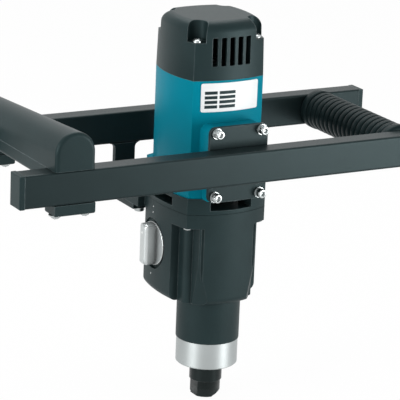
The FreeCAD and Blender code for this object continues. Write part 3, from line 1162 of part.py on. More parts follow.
def handle_lower():
    front = f"({FRONT_IN} + moving_gap)"
    rear = f"({REAR_IN} - moving_gap)"
    bottom = f"({BAR_TOP} - belly_depth)"
    shallow = f"({BAR_TOP} - belly_end_depth)"
    outline = [
        (front, shallow), (f"{TRIGGER_FRONT} - trigger_drop", bottom),
        (f"{TRIGGER_REAR} + trigger_drop", bottom), (rear, shallow), (rear, BAR_TOP), (front, BAR_TOP),
    ]
    body = solid("belly_shell", "YZ_Plane", outline, f"{HANDLE_X} - handle_half", "2 * handle_half")
    top = value(BAR_TOP)
    round_edges(body, "belly_edge",
                lambda edge: edge.BoundBox.XLength < TOUCH and edge.BoundBox.ZMax < top - TOUCH)
    room_x = (f"{HANDLE_X} - handle_half + belly_wall", f"{HANDLE_X} + handle_half - belly_wall")
    room_y = (f"{TRIGGER_FRONT} - moving_gap", f"{TRIGGER_REAR} + moving_gap")
    slot_x = (f"{HANDLE_X} - trigger_width / 2 - moving_gap", f"{HANDLE_X} + trigger_width / 2 + moving_gap")
    room = block("belly_room", room_x, room_y, (f"{bottom} + belly_wall", BAR_TOP))
    slot = block("trigger_slot", slot_x, room_y, (bottom, BAR_TOP))
    cheeks = [
        block(f"pivot_cheek_{side}", ends, (f"{TRIGGER_PIN_Y} - trigger_tail", room_y[1]),
              (f"{bottom} + belly_wall", f"{TRIGGER_PIN_Z} + trigger_tail"))
        for side, ends in (("left", (room_x[0], slot_x[0])), ("right", (slot_x[1], room_x[1])))
    ]
    axis = (TRIGGER_PIN_Y, TRIGGER_PIN_Z)
    pivot = rod("trigger_pin_hole", "trigger_pin_radius + running_fit", "x", *room_x, axis)
    holes = []
    screws = []
    under = f"({shallow} + belly_wall)"
    for number, spot in enumerate(handle_screw_spots(), 1):
        holes.append(rod(f"belly_screw_hole{number}", "handle_screw_radius + screw_fit", "z", bottom,
                         BAR_TOP, spot))
        holes.append(rod(f"belly_head_hole{number}", "handle_screw_head + screw_fit", "z", bottom, under,
                         spot))
        screws.append(screw(f"handle_screw{number}", "z", under, "handle_screw_radius",
                            f"{BAR_TOP} + handle_screw_reach - {under}", "handle_screw_head",
                            "handle_screw_head_height", spot))
    node("handle_lower", cut("handle_lower", body, cut("belly_cavity", room, *cheeks), slot, pivot, *holes))
    node("handle_screws", group("handle_screws", screws))
    node("trigger_pin", rod("trigger_pin", "trigger_pin_radius", "x", *room_x, axis))


def trigger():
    low = f"({BAR_TOP} - belly_depth - trigger_drop)"
    outline = [
        (TRIGGER_FRONT, f"{low} + trigger_edge"), (f"{TRIGGER_FRONT} + trigger_edge", low),
        (f"{TRIGGER_PIN_Y} - trigger_centre", low), (TRIGGER_REAR, f"{TRIGGER_PIN_Z} - trigger_tail / 2"),
        (TRIGGER_REAR, f"{TRIGGER_PIN_Z} + trigger_tail / 2"),
        (TRIGGER_PIN_Y, TRIGGER_TOP), (TRIGGER_FRONT, f"{low} + trigger_height"),
    ]
    body = solid("trigger_lever", "YZ_Plane", outline, f"{HANDLE_X} - trigger_width / 2", "trigger_width")
    bottom = value(low)
    round_edges(body, "trigger_edge",
                lambda edge: abs(edge.BoundBox.ZMax - bottom) < TOUCH and edge.BoundBox.XLength < TOUCH)
    hole = rod("trigger_bore", "trigger_pin_radius + running_fit", "x", f"{HANDLE_X} - trigger_width / 2",
               f"{HANDLE_X} + trigger_width / 2", (TRIGGER_PIN_Y, TRIGGER_PIN_Z))
    node("trigger", cut("trigger", body, hole))


def switch_and_button():
    inner_left = f"({HANDLE_X} - handle_half + handle_wall + slip_fit)"
    node("trigger_switch", block(
        "trigger_switch", (inner_left, f"{HANDLE_X} + handle_half - handle_wall - switch_room"),
        (f"{FRAME_MID} - switch_length / 2", f"{FRAME_MID} + switch_length / 2"),
        (f"{BAR_TOP} + switch_lift", f"{BAR_TOP} + switch_lift + switch_height"),
    ))
    axis = (FRAME_MID, f"{BAR_TOP} + button_lift")
    wall = f"({HANDLE_X} + handle_half - handle_wall)"
    face = f"({HANDLE_X} + handle_half + button_proud)"
    cap = rod("button_cap", "button_radius", "x", f"{wall} - moving_gap", face, axis)
    flange_low = f"({wall} - moving_gap - button_flange)"
    flange = rod("button_flange", "button_radius + button_flange_rim", "x", flange_low,
                 f"{wall} - moving_gap", axis)
    stem = rod("button_stem", "button_radius / 2", "x", f"{flange_low} - button_stem", flange_low, axis)
    node("lock_button", fuse("lock_button", cap, flange, stem))


def feet():
    screws = []
    for side, low, high in (("front", FRONT_OUT, FRONT_IN), ("rear", REAR_IN, REAR_OUT)):
        label = f"{side}_foot"
        under = f"({BAR_BOTTOM} - foot_height)"
        half = "(handle_half + foot_margin)"
        outline = rectangle((f"{HANDLE_X} - {half}", f"{HANDLE_X} + {half}"), (low, high))
        body = solid(f"{label}_block", "XY_Plane", outline, under, "foot_height")
        bottom = value(under)
        round_edges(body, "foot_edge", lambda edge: abs(edge.BoundBox.ZMax - bottom) < TOUCH)
        holes = []
        for sign in (-1, 1):
            spot = (f"{HANDLE_X} + {sign} * {FOOT_SCREW_X}", f"({low} + {high}) / 2")
            holes.append(rod(f"{label}_hole", "foot_screw_radius + screw_fit", "z", under, BAR_BOTTOM,
                             spot))
            screws.append(screw(f"{label}_screw", "z", under, "foot_screw_radius",
                                f"{BAR_TOP} + foot_screw_reach - {under}", "foot_screw_head",
                                "foot_screw_head_height", spot))
        node(label, cut(label, body, *holes))
    node("foot_screws", group("foot_screws", screws))


def side_grip():
    centre = (GRIP_X, BAR_MID)
    node("grip_tube", tube("grip_tube", "grip_tube_radius", "grip_tube_radius - grip_tube_wall", "y",
                           f"{FRONT_OUT} + bar_wall", f"{REAR_OUT} - bar_wall", centre))
    length = f"({REAR_IN} - {FRONT_IN} - 2 * slip_fit)"
    count = int(value(f"({length} - 2 * grip_collar_length) / grip_rib_pitch"))
    collar = f"({length} - {count} * grip_rib_pitch + grip_rib_pitch - grip_rib_width) / 2"
    bore = "grip_tube_radius + running_fit"
    crown = "grip_core + grip_rib"
    edge = "grip_core + grip_collar"
    front = f"({collar} - grip_rib_pitch / 2)"
    outline = [(bore, "0"), (edge, "0"), (edge, front), ("grip_core", front)]
    for number in range(count):
        start = f"({collar} + {number} * grip_rib_pitch)"
        outline += [
            ("grip_core", start), (crown, f"{start} + grip_rib"),
            (crown, f"{start} + grip_rib_width - grip_rib"), ("grip_core", f"{start} + grip_rib_width"),
        ]
    back = f"({length} - {collar} + grip_rib_pitch / 2)"
    outline += [("grip_core", back), (edge, back), (edge, length), (bore, length)]
    node("rubber_grip", turned("rubber_grip", outline, "y", centre, f"{FRONT_IN} + slip_fit"))


front_bar_and_rear_bar()
bar_end_caps()
front_plate()
frame_bolts()
rear_brackets()
motor_housing()
top_cover()
rating_plate()
field()
armature()
cooling_fan()
end_bracket_and_brushes()
gear_housing_cover()
gear_housing()
bearing_plate()
countershaft()
spindle()
spindle_gears()
clutch_sleeve()
shift_fork()
speed_knob()
nose_ring()
handle_upper()
handle_lower()
trigger()
switch_and_button()
feet()
side_grip()

# Check every object, then write one file for each sub-part
DOC.recompute()
faults = [item.Name for item in DOC.Objects if {"Invalid", "Error"} & set(item.State)]
for label, item in NODES.items():
    if item.Shape.isNull() or not item.Shape.isValid() or not item.Shape.Solids:
        faults.append(label)
if faults:
    raise SystemExit(f"failed objects: {', '.join(faults)}")
os.makedirs("parts", exist_ok=True)
for label, item in NODES.items():
    item.Shape.exportStep(f"parts/{label}.step")
print(f"{len(NODES)} sub-parts written")
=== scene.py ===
import itertools
import math

import bmesh
import bpy
from mathutils import Matrix, Vector


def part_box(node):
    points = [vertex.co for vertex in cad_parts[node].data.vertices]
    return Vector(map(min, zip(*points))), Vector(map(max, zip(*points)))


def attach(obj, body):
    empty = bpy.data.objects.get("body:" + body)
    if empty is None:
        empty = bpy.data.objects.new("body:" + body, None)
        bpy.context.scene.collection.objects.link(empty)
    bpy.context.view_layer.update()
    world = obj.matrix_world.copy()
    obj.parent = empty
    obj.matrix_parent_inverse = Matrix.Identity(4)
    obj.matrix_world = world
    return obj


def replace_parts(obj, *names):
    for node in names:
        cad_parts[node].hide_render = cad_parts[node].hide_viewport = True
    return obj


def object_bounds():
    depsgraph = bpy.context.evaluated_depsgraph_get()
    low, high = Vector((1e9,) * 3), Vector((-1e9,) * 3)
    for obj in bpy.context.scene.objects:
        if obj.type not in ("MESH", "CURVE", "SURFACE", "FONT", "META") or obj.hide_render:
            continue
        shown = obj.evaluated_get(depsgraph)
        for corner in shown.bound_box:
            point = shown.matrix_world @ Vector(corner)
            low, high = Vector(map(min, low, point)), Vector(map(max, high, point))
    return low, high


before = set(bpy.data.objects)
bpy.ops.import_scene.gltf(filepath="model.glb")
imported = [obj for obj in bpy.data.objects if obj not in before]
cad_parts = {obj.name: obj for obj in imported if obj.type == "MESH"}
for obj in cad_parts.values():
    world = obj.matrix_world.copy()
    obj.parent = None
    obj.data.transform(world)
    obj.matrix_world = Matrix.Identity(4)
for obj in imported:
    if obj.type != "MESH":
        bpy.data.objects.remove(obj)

# Looks of a two speed mixing drill, in metres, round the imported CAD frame

CAD_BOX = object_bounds()
MM = 0.001

# Distances under which two places count as one, in a copied mesh's points and elsewhere
MERGE = MM / 1000
CLOSE = MM / 100

# Place along an axis that lies well outside the object, where rays start
OUTSIDE = -1.0

# Camera at the photograph's angle
CAMERA_TARGET = Vector((0.00276, 0.0287, 0.18043))
CAMERA_AZIMUTH = math.radians(29.14)
CAMERA_ELEVATION = math.radians(16.36)
CAMERA_ROLL = math.radians(2.3)
CAMERA_DISTANCE = 2.3392
CAMERA_LENS = 225.86

# Colours, linear, the third being a painted highlight along the edges of black parts
TEAL = (0.0005, 0.19, 0.265)
SLATE = (0.02, 0.038, 0.04)
SLATE_EDGE_HIGHLIGHT = (0.12, 0.15, 0.155)
WHITE = (0.74, 0.76, 0.76)


# Shader nodes

def add(tree, kind, values=(), **settings):
    """New node. A value that is a socket is linked, and any other is set on the input."""
    made = tree.nodes.new(kind)
    for key, setting in settings.items():
        setattr(made, key, setting)
    for key, item in dict(values).items():
        if isinstance(item, bpy.types.NodeSocket):
            tree.links.new(item, made.inputs[key])
        else:
            made.inputs[key].default_value = item
    return made


def new_tree(name):
    """New material with an empty node tree."""
    material = bpy.data.materials.new(name)
    material.use_nodes = True
    material.node_tree.nodes.clear()
    return material, material.node_tree


def grain(tree, scale, detail, stretch=(1, 1, 1)):
    """Noise over the object's own coordinates, from 0 to 1."""
    place = add(tree, "ShaderNodeTexCoord").outputs["Object"]
    mapped = add(tree, "ShaderNodeMapping", {"Vector": place, "Scale": stretch}).outputs["Vector"]
    noise = add(tree, "ShaderNodeTexNoise", {"Vector": mapped, "Scale": scale, "Detail": detail})
    return noise.outputs["Fac"]


def calculated(tree, operation, first, second):
    """Result of a calculation with two values, each a socket or a number."""
    return add(tree, "ShaderNodeMath", {0: first, 1: second}, operation=operation).outputs["Value"]


def spread(tree, factor, low, high, start=0.3, end=0.7):
    """Factor's range from start to end, spread from low to high."""
    values = {"Value": factor, "From Min": start, "From Max": end, "To Min": low, "To Max": high}
    return add(tree, "ShaderNodeMapRange", values).outputs["Result"]


def blended(tree, factor, first, second):
    """Mix of two colours, each a socket or three numbers."""
    mixed = add(tree, "ShaderNodeMix", data_type="RGBA")
    tree.links.new(factor, mixed.inputs["Factor"])
    for key, colour in (("A", first), ("B", second)):
        if isinstance(colour, bpy.types.NodeSocket):
            tree.links.new(colour, mixed.inputs[key])
        else:
            mixed.inputs[key].default_value = (*colour, 1)
    return mixed.outputs["Result"]


def shaded(colour, amount):
    """Colour made darker or lighter by a factor."""
    return tuple(channel * amount for channel in colour)


# Painted highlight along edges: cosines from a full edge to a flat face, and the noise that breaks the
# highlight up
EDGE_RANGE = (0.86, 0.995)
EDGE_GRAIN = (160, 5)
EDGE_LEAST = 0.25


def edge_highlight_mask(tree, rounded):
    """1 along sharp edges and 0 on flat faces, broken up by noise: where the painted edge highlight goes."""
    flat = add(tree, "ShaderNodeNewGeometry").outputs["Normal"]
    facing = add(tree, "ShaderNodeVectorMath", {0: rounded, 1: flat}, operation="DOT_PRODUCT")
    sharp = spread(tree, facing.outputs["Value"], 1, 0, *EDGE_RANGE)
    broken = spread(tree, grain(tree, *EDGE_GRAIN), EDGE_LEAST, 1)
    return calculated(tree, "MULTIPLY", sharp, broken)


# Noise of the cloudy colour, as scale per metre and detail, and detail of the fine grain
CLOUD_GRAIN = (35, 4)
FINE_DETAIL = 2

# Rays that soften an edge
EDGE_SAMPLES = 6

# Painted shade in inner corners: rays that find a corner, their reach, and free shares from a full corner to
# none
SHADE_SAMPLES = 8
SHADE_REACH = 9 * MM
SHADE_RANGE = (0.5, 0.95)

# Turn of the brushed highlights, as a share of a full turn
BRUSHED_TURN = 0.25


def finish(name, colour, mottle, roughness, bump, metallic=0.0, specular=0.5, edge=0.4, stretch=(1, 1, 1),
           edge_highlight=None, shine=(1, 1, 1), brushed=0.0, corner_shade=None):
    """Material with cloudy colour, uneven gloss, a fine surface, softened edges with a painted highlight
    along them, and painted shade in inner corners if asked.

    mottle is the share by which the colour varies, roughness a low and high value, and bump the
    grain's scale per metre with its height in metres. stretch multiplies that scale along each axis.
    edge is the softened edges' radius in millimetres, and edge_highlight the colour painted along them as a
    highlight. shine tints the gloss, and brushed draws the highlights out along Z on a turned face.
    corner_shade is the share of the colour that is left in inner corners, as painted shade.
    """
    material, tree = new_tree(name)
    cloud = spread(tree, grain(tree, *CLOUD_GRAIN), 0, 1)
    scale, height = bump
    fine = grain(tree, scale, FINE_DETAIL, stretch)
    soft = add(tree, "ShaderNodeBevel", {"Radius": edge * MM}, samples=EDGE_SAMPLES).outputs["Normal"]
    relief = {"Height": fine, "Distance": height, "Strength": 1.0, "Normal": soft}
    base = blended(tree, cloud, shaded(colour, 1 - mottle), shaded(colour, 1 + mottle))
    # Painted highlight: a lighter colour along sharp edges
    if edge_highlight:
        base = blended(tree, edge_highlight_mask(tree, soft), base, edge_highlight)
    # Painted shade: the colour darkened in the inner corners that occlusion rays find
    if corner_shade is not None:
        occlusion = add(tree, "ShaderNodeAmbientOcclusion", {"Distance": SHADE_REACH}, only_local=True,
                   samples=SHADE_SAMPLES)
        unshaded_share = spread(tree, occlusion.outputs["AO"], 0, 1, *SHADE_RANGE)
        base = blended(tree, unshaded_share, shaded(colour, corner_shade), base)
    principled = add(tree, "ShaderNodeBsdfPrincipled", {
        "Base Color": base,
        "Roughness": spread(tree, fine, *roughness),
        "Normal": add(tree, "ShaderNodeBump", relief).outputs["Normal"],
        "Metallic": metallic,
        "Specular IOR Level": specular,
        "Specular Tint": (*shine, 1),
        "Anisotropic": brushed,
        "Anisotropic Rotation": BRUSHED_TURN,
    })
    if brushed:
        round_z = add(tree, "ShaderNodeTangent", direction_type="RADIAL", axis="Z").outputs["Tangent"]
        tree.links.new(round_z, principled.inputs["Tangent"])
    add(tree, "ShaderNodeOutputMaterial", {"Surface": principled.outputs["BSDF"]})
    return material


# Stretch of the grain into lines round a turned piece, and the tint of the black parts' gloss
TURNED = (60, 60, 4000)
SLATE_SHINE = (0.72, 0.97, 1.0)

# The colours along edges are painted highlights, and silver plastic's inner corners get painted shade
FINISHES = {
    "teal_plastic": dict(
        colour=TEAL, mottle=0.04, roughness=(0.38, 0.5), bump=(1400, 0.00005), specular=0.1, edge=1.0,
        shine=(0.2, 0.9, 1.0), edge_highlight=(0.005, 0.3, 0.38)),
    "black_plastic": dict(
        colour=shaded(SLATE, 0.6), mottle=0.1, roughness=(0.34, 0.44), bump=(1500, 0.00008), specular=0.15,
        edge=1.1, shine=SLATE_SHINE, edge_highlight=SLATE_EDGE_HIGHLIGHT),
    "black_casting": dict(
        colour=shaded(SLATE, 0.5), mottle=0.14, roughness=(0.44, 0.54), bump=(900, 0.00008), specular=0.2,
        edge=1.2, shine=SLATE_SHINE, edge_highlight=shaded(SLATE_EDGE_HIGHLIGHT, 0.5)),
    "black_paint": dict(
        colour=shaded(SLATE, 0.35), mottle=0.1, roughness=(0.34, 0.44), bump=(1100, 0.00004), specular=0.2,
        edge=1.2, shine=SLATE_SHINE, edge_highlight=SLATE_EDGE_HIGHLIGHT),
    "zinc_steel": dict(
        colour=(0.42, 0.45, 0.45), mottle=0.1, roughness=(0.2, 0.34), bump=(700, 0.00003), metallic=1.0,
        edge=0.25),
    "machined_steel": dict(
        colour=(0.5, 0.51, 0.52), mottle=0.08, roughness=(0.25, 0.4), bump=(1, 0.00002), metallic=1.0,
        edge=0.3, stretch=TURNED),
    "dark_steel": dict(
        colour=(0.012, 0.018, 0.018), mottle=0.2, roughness=(0.26, 0.4), bump=(1, 0.00002), metallic=0.5,
        specular=0.2, edge=0.5, stretch=TURNED, edge_highlight=(0.2, 0.21, 0.21), brushed=0.6),
    "bright_aluminium": dict(
        colour=(0.42, 0.45, 0.45), mottle=0.04, roughness=(0.42, 0.5), bump=(1, 0.00002), metallic=1.0,
        stretch=TURNED, brushed=0.6),
    "copper": dict(
        colour=(0.62, 0.27, 0.13), mottle=0.15, roughness=(0.25, 0.4), bump=(900, 0.0001), metallic=1.0),
    "brass": dict(
        colour=(0.7, 0.52, 0.22), mottle=0.1, roughness=(0.25, 0.4), bump=(600, 0.00004), metallic=1.0),
    "carbon": dict(
        colour=(0.03, 0.03, 0.03), mottle=0.2, roughness=(0.6, 0.75), bump=(1500, 0.00008)),
    "black_rubber": dict(
        colour=shaded(SLATE, 0.4), mottle=0.12, roughness=(0.3, 0.4), bump=(1300, 0.00003), specular=0.07,
        edge=0.3, shine=SLATE_SHINE),
    "silver_plastic": dict(
        colour=(0.55, 0.58, 0.58), mottle=0.04, roughness=(0.32, 0.42), bump=(2500, 0.00002), metallic=0.9,
        edge=0.6, corner_shade=0.14),
    "plate_white": dict(
        colour=WHITE, mottle=0.03, roughness=(0.35, 0.45), bump=(900, 0.00002), edge=0.2),
}
MATERIALS = {name: finish(name, **values) for name, values in FINISHES.items()}


def dress_frame():
    """Give every CAD node the finish of its slot in the record."""
    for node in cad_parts.values():
        for slot in node.material_slots:
            slot.material = MATERIALS[slot.material.name.split(".")[0]]


# Pieces from rings and ribs of points, with sharp edges from an angle in degrees

ROUND_SEGMENTS = 72
SHARP_ANGLE = 35


def join(bm, loops, ring=False):
    """Faces between loops of points in a row, as a ring or with a face at each end."""
    following = loops[1:] + loops[:1] if ring else loops[1:]
    for low, high in zip(loops, following):
        for step in range(len(low)):
            after = (step + 1) % len(low)
            bm.faces.new((low[step], low[after], high[after], high[step]))
    if not ring:
        bm.faces.new(list(reversed(loops[0])))
        bm.faces.new(loops[-1])


def stack(bm, rings, segments, where, bored=False):
    """Closed turned form from rings of radius and height in millimetres, carried to where.

    A radius is a number, or a function of the angle for a shape that isn't round. The first and
    last rings are closed with a face each, or joined to each other by a bore.
    """
    loops = []
    for radius, height in rings:
        loop = []
        for step in range(segments):
            angle = 2 * math.pi * step / segments
            reach = radius(angle) if callable(radius) else radius
            spot = Vector((reach * math.cos(angle), reach * math.sin(angle), height)) * MM
            loop.append(bm.verts.new(where @ spot))
        loops.append(loop)
    join(bm, loops, bored)


def piece(name, bm, slot, body, sharp=SHARP_ANGLE):
    """Finished object from a bmesh, riding on a body, smooth apart from its sharp edges."""
    bmesh.ops.recalc_face_normals(bm, faces=bm.faces)
    mesh = bpy.data.meshes.new(name)
    bm.to_mesh(mesh)
    bm.free()
    mesh.shade_smooth()
    mesh.set_sharp_from_angle(angle=math.radians(sharp))
    mesh.materials.append(MATERIALS[slot])
    made = bpy.data.objects.new(name, mesh)
    bpy.context.collection.objects.link(made)
    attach(made, body)
    return made


def hexagon(across):
    """Radius of a hexagonal socket at each angle, for a size across its flats."""
    return lambda angle: across / 2 / math.cos((angle + math.pi / 6) % (math.pi / 3) - math.pi / 6)


def cross(reach, width):
    """Radius of a cross shaped recess at each angle."""
    def radius(angle):
        turn = abs((angle + math.pi / 4) % (math.pi / 2) - math.pi / 4)
        return min(reach, width / 2 / max(math.sin(turn), width / 2 / reach))
    return radius


def knurled(radius, ridges, depth):
    """Radius at each angle of a round side with fine ridges."""
    return lambda angle: radius - depth * (0.5 - 0.5 * math.cos(ridges * angle))


# Screw heads' bevel and ridges, in millimetres
HEAD_BEVEL = 0.4
KNURL_RIDGES = 36
KNURL_DEPTH = 0.12

# Screw heads' sockets, domes, recesses and washers, as angles in degrees and shares of the radius or height
SOCKET_WIDTH = 0.95
SOCKET_RIM = 0.6
SOCKET_FLOOR = 0.5
DOME_START = 0.35
DOME_ANGLES = range(0, 66, 13)
RECESS_RIM = (0.52, 0.2)
RECESS_PIT = (0.36, 0.17)
RECESS_TOP = 0.98
RECESS_FLOOR = 0.35
WASHER_RADIUS = 1.4
WASHER_THICKNESS = 0.35
WASHER_HEAD_HEIGHT = 1.5


def socket_head(radius, height, shank, length):
    """Rings of a socket head screw from the tip of its shank up to the floor of its socket."""
    side = knurled(radius, KNURL_RIDGES, KNURL_DEPTH)
    key = hexagon(radius * SOCKET_WIDTH)
    bevel = HEAD_BEVEL
    return [
        (shank - bevel, -length), (shank, bevel - length), (shank, 0), (radius - bevel, 0), (side, bevel),
        (side, height - 2 * bevel), (radius - bevel, height - bevel / 2), (radius - 2 * bevel, height),
        (radius * SOCKET_RIM, height), (key, height - bevel), (key, height * SOCKET_FLOOR),
    ]


def pan_head(radius, height, shank, length):
    """Rings of a domed screw with a cross recess, from the tip of its shank upwards."""
    dome = []
    for turn in map(math.radians, DOME_ANGLES):
        rise = DOME_START + (1 - DOME_START) * math.sin(turn)
        dome.append((radius * math.cos(turn), height * rise))
    rim = cross(*(radius * share for share in RECESS_RIM))
    pit = cross(*(radius * share for share in RECESS_PIT))
    return [
        (shank - HEAD_BEVEL, -length), (shank, HEAD_BEVEL - length), (shank, 0), (radius, 0), *dome,
        (rim, height * RECESS_TOP), (pit, height * RECESS_FLOOR),
    ]


def washer_head(radius, height, shank, length):
    """Rings of a domed screw with a washer formed under its head."""
    washer = radius * WASHER_RADIUS
    tip, side, seat, _, *head = pan_head(radius, height * WASHER_HEAD_HEIGHT, shank, length)
    return [tip, side, seat, (washer, 0), (washer, height * WASHER_THICKNESS), *head]


# Turn of a node's first screw and the step to the next in radians, and the decimals that tell places apart
SCREW_TURN = 0.7
SCREW_TURN_STEP = 1.9
PLACE_DIGITS = 5

# Screws by node: rings, way that the head faces, head's radius and height, shank's radius, in millimetres
SCREWS = {
    "frame_bolts": (socket_head, (0, -1, 0), 4.25, 5.0, 2.5),
    "gear_housing_screws": (pan_head, (0, 0, -1), 4.2, 2.6, 2.5),
    "bracket_bolts": (socket_head, (0, 0, -1), 4.8, 4.5, 3.0),
    "cover_screws": (pan_head, (0, 0, 1), 4.2, 3.0, 2.0),
    "foot_screws": (washer_head, (0, 0, -1), 4.4, 2.8, 2.5),
    "handle_screws": (pan_head, (0, 0, -1), 3.6, 2.4, 2.0),
}


def screws():
    """Screws with real heads at the corners of each screw node's box."""
    for node, (rings, facing, radius, height, shank) in SCREWS.items():
        low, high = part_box(node)
        facing = Vector(facing)
        along = max(range(3), key=lambda axis: abs(facing[axis]))
        across = [axis for axis in range(3) if axis != along]
        top = high[along] if facing[along] > 0 else low[along]
        length = (high[along] - low[along]) / MM - height
        turn = facing.to_track_quat("Z", "Y").to_matrix().to_4x4()
        places = []
        for axis in across:
            ends = (low[axis] + radius * MM, high[axis] - radius * MM)
            places.append(sorted({round(end, PLACE_DIGITS) for end in ends}))
        bm = bmesh.new()
        for number, pair in enumerate(itertools.product(*places)):
            seat = Vector()
            seat[along] = top - facing[along] * height * MM
            for axis, place in zip(across, pair):
                seat[axis] = place
            spin = Matrix.Rotation(SCREW_TURN + SCREW_TURN_STEP * number, 4, "Z")
            where = Matrix.Translation(seat) @ turn @ spin
            stack(bm, rings(radius, height, shank, length), ROUND_SEGMENTS, where)
        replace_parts(piece(f"{node}_detailed", bm, "zinc_steel", "body"), node)


# Ribbed grip, in millimetres and degrees
GRIP_RIBS = 16
GRIP_RIB_PITCH = 8.0
GRIP_RIB_WIDTH = 7.2
GRIP_CORE = 17.0
GRIP_CROWN = 18.7
GRIP_BORE = 12.1
GRIP_EDGE = 1.2
RIB_STEPS = 10
RIB_FULLNESS = 0.7
RIB_SHARP_ANGLE = 50


def grip():
    """Rubber sleeve with round ribs between two plain collars, along Y."""
    low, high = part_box("rubber_grip")
    length = (high.y - low.y) / MM
    collar = (high.z - low.z) / MM / 2
    start = (length - GRIP_RIBS * GRIP_RIB_PITCH) / 2
    end = length - start
    rings = [
        (GRIP_BORE, 0), (collar - GRIP_EDGE, 0), (collar, GRIP_EDGE), (collar, start - GRIP_EDGE),
        (collar - GRIP_EDGE, start), (GRIP_CORE, start),
    ]
    for rib in range(GRIP_RIBS):
        middle = start + (rib + 0.5) * GRIP_RIB_PITCH
        for step in range(RIB_STEPS + 1):
            turn = math.pi * step / RIB_STEPS
            rise = (GRIP_CROWN - GRIP_CORE) * math.sin(turn) ** RIB_FULLNESS
            rings.append((GRIP_CORE + rise, middle - GRIP_RIB_WIDTH / 2 * math.cos(turn)))
    rings += [
        (GRIP_CORE, end), (collar - GRIP_EDGE, end), (collar, end + GRIP_EDGE), (collar, length - GRIP_EDGE),
        (collar - GRIP_EDGE, length), (GRIP_BORE, length),
    ]
    centre = (low + high) / 2
    where = Matrix.Translation((centre.x, low.y, centre.z)) @ Matrix.Rotation(-math.pi / 2, 4, "X")
    bm = bmesh.new()
    stack(bm, rings, ROUND_SEGMENTS, where, bored=True)
    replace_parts(piece("ribbed_grip", bm, "black_rubber", "body", RIB_SHARP_ANGLE), "rubber_grip")


def face_under(carrier, start, way):
    """Point and normal of the face of a node that a ray meets."""
    place = carrier.matrix_world
    back = place.inverted()
    found, spot, normal, _ = carrier.ray_cast(back @ Vector(start), back.to_3x3() @ Vector(way))
    if not found:
        raise SystemExit(f"{carrier.name} has no face at {start}")
    return place @ spot, place.to_3x3() @ normal


# Painted dots' height in millimetres, and their top as a share of their radius
DOT_RISE = 0.12
DOT_TOP = 0.8
DOT_SEGMENTS = 24

# Dots for the two speeds: node, place along Y and Z in metres, body, and radius in millimetres
DOTS = {
    "high_dot_upper": ("gear_housing", 0.029, 0.1795, "body", 0.65),
    "high_dot_lower": ("gear_housing", 0.029, 0.1739, "body", 0.65),
    "low_dot": ("gear_housing", 0.030, 0.1145, "body", 0.65),
    "knob_dot": ("speed_knob", 0.029, 0.1555, "knob", 1.2),
}


def dots():
    """White dots on the left side, each laid on the face that a ray from the left meets."""
    for name, (node, y, z, body, radius) in DOTS.items():
        spot, normal = face_under(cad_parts[node], (OUTSIDE, y, z), (1, 0, 0))
        turn = normal.to_track_quat("Z", "Y").to_matrix().to_4x4()
        rings = [(radius, -DOT_RISE), (radius, DOT_RISE / 2), (radius * DOT_TOP, DOT_RISE)]
        bm = bmesh.new()
        stack(bm, rings, DOT_SEGMENTS, Matrix.Translation(spot) @ turn)
        piece(name, bm, "plate_white", body)


# Speed knob, a straight grip across a disc, in millimetres
KNOB_DISC = 4.0
KNOB_GRIP_HEIGHT = 11.0
KNOB_GRIP_HALF = 6.3
KNOB_FOOT_HALF = 7.0
KNOB_ROUND = 3.4
KNOB_ROUND_STEPS = 8
KNOB_BEVEL = 0.4
KNOB_GRIP_INSET = 0.4
KNOB_SHAFT = 6.0
KNOB_SHAFT_LENGTH = 8.4
KNOB_PIN = 2.5
KNOB_PIN_LENGTH = 4.4
KNOB_PIN_DROP = 3.0
KNOB_SEGMENTS = 144
KNOB_PIN_SEGMENTS = 36


def bar(half, reach):
    """Radius at each angle of a straight bar with round ends, for half its width and half its length."""
    return lambda angle: half / max(abs(math.sin(angle)), half / reach)


def knob():
    """Knob with its shaft and the pin that moves the fork, facing left."""
    low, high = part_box("speed_knob")
    middle = (low + high) / 2
    rim = (high.z - low.z) / MM / 2
    edge = rim - KNOB_BEVEL
    end = edge - KNOB_GRIP_INSET
    top = KNOB_DISC + KNOB_GRIP_HEIGHT
    rings = [
        (KNOB_SHAFT, -KNOB_SHAFT_LENGTH), (KNOB_SHAFT, 0), (edge, 0), (rim, KNOB_BEVEL),
        (rim, KNOB_DISC - KNOB_BEVEL), (edge, KNOB_DISC), (bar(KNOB_FOOT_HALF, end), KNOB_DISC),
    ]
    for step in range(KNOB_ROUND_STEPS + 1):
        turn = math.pi / 2 * step / KNOB_ROUND_STEPS
        inset = KNOB_ROUND * (1 - math.cos(turn))
        rings.append((bar(KNOB_GRIP_HALF - inset, end - inset), top - KNOB_ROUND * (1 - math.sin(turn))))
    left = Matrix.Rotation(-math.pi / 2, 4, "Y")
    back = Vector((low.x + top * MM, middle.y, middle.z))
    bm = bmesh.new()
    stack(bm, rings, KNOB_SEGMENTS, Matrix.Translation(back) @ left)
    pin = [(KNOB_PIN, -KNOB_SHAFT_LENGTH - KNOB_PIN_LENGTH), (KNOB_PIN, -KNOB_SHAFT_LENGTH)]
    drop = Vector((0, 0, KNOB_PIN_DROP * MM))
    stack(bm, pin, KNOB_PIN_SEGMENTS, Matrix.Translation(back - drop) @ left)
    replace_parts(piece("speed_knob_detailed", bm, "silver_plastic", "knob"), "speed_knob")


def copied(node):
    """Bmesh of a node's mesh, with its faces joined along their edges."""
    bm = bmesh.new()
    bm.from_mesh(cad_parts[node].data)
    bmesh.ops.remove_doubles(bm, verts=bm.verts, dist=MERGE)
    return bm


def section(bm, spot, facing, cut_off=False):
    """Edges where a plane cuts a bmesh, and what lies in front of it cut off if asked."""
    whole = [*bm.verts, *bm.edges, *bm.faces]
    cut = bmesh.ops.bisect_plane(bm, geom=whole, plane_co=spot, plane_no=facing, clear_outer=cut_off)
    return [edge for edge in cut["geom_cut"] if isinstance(edge, bmesh.types.BMEdge)]


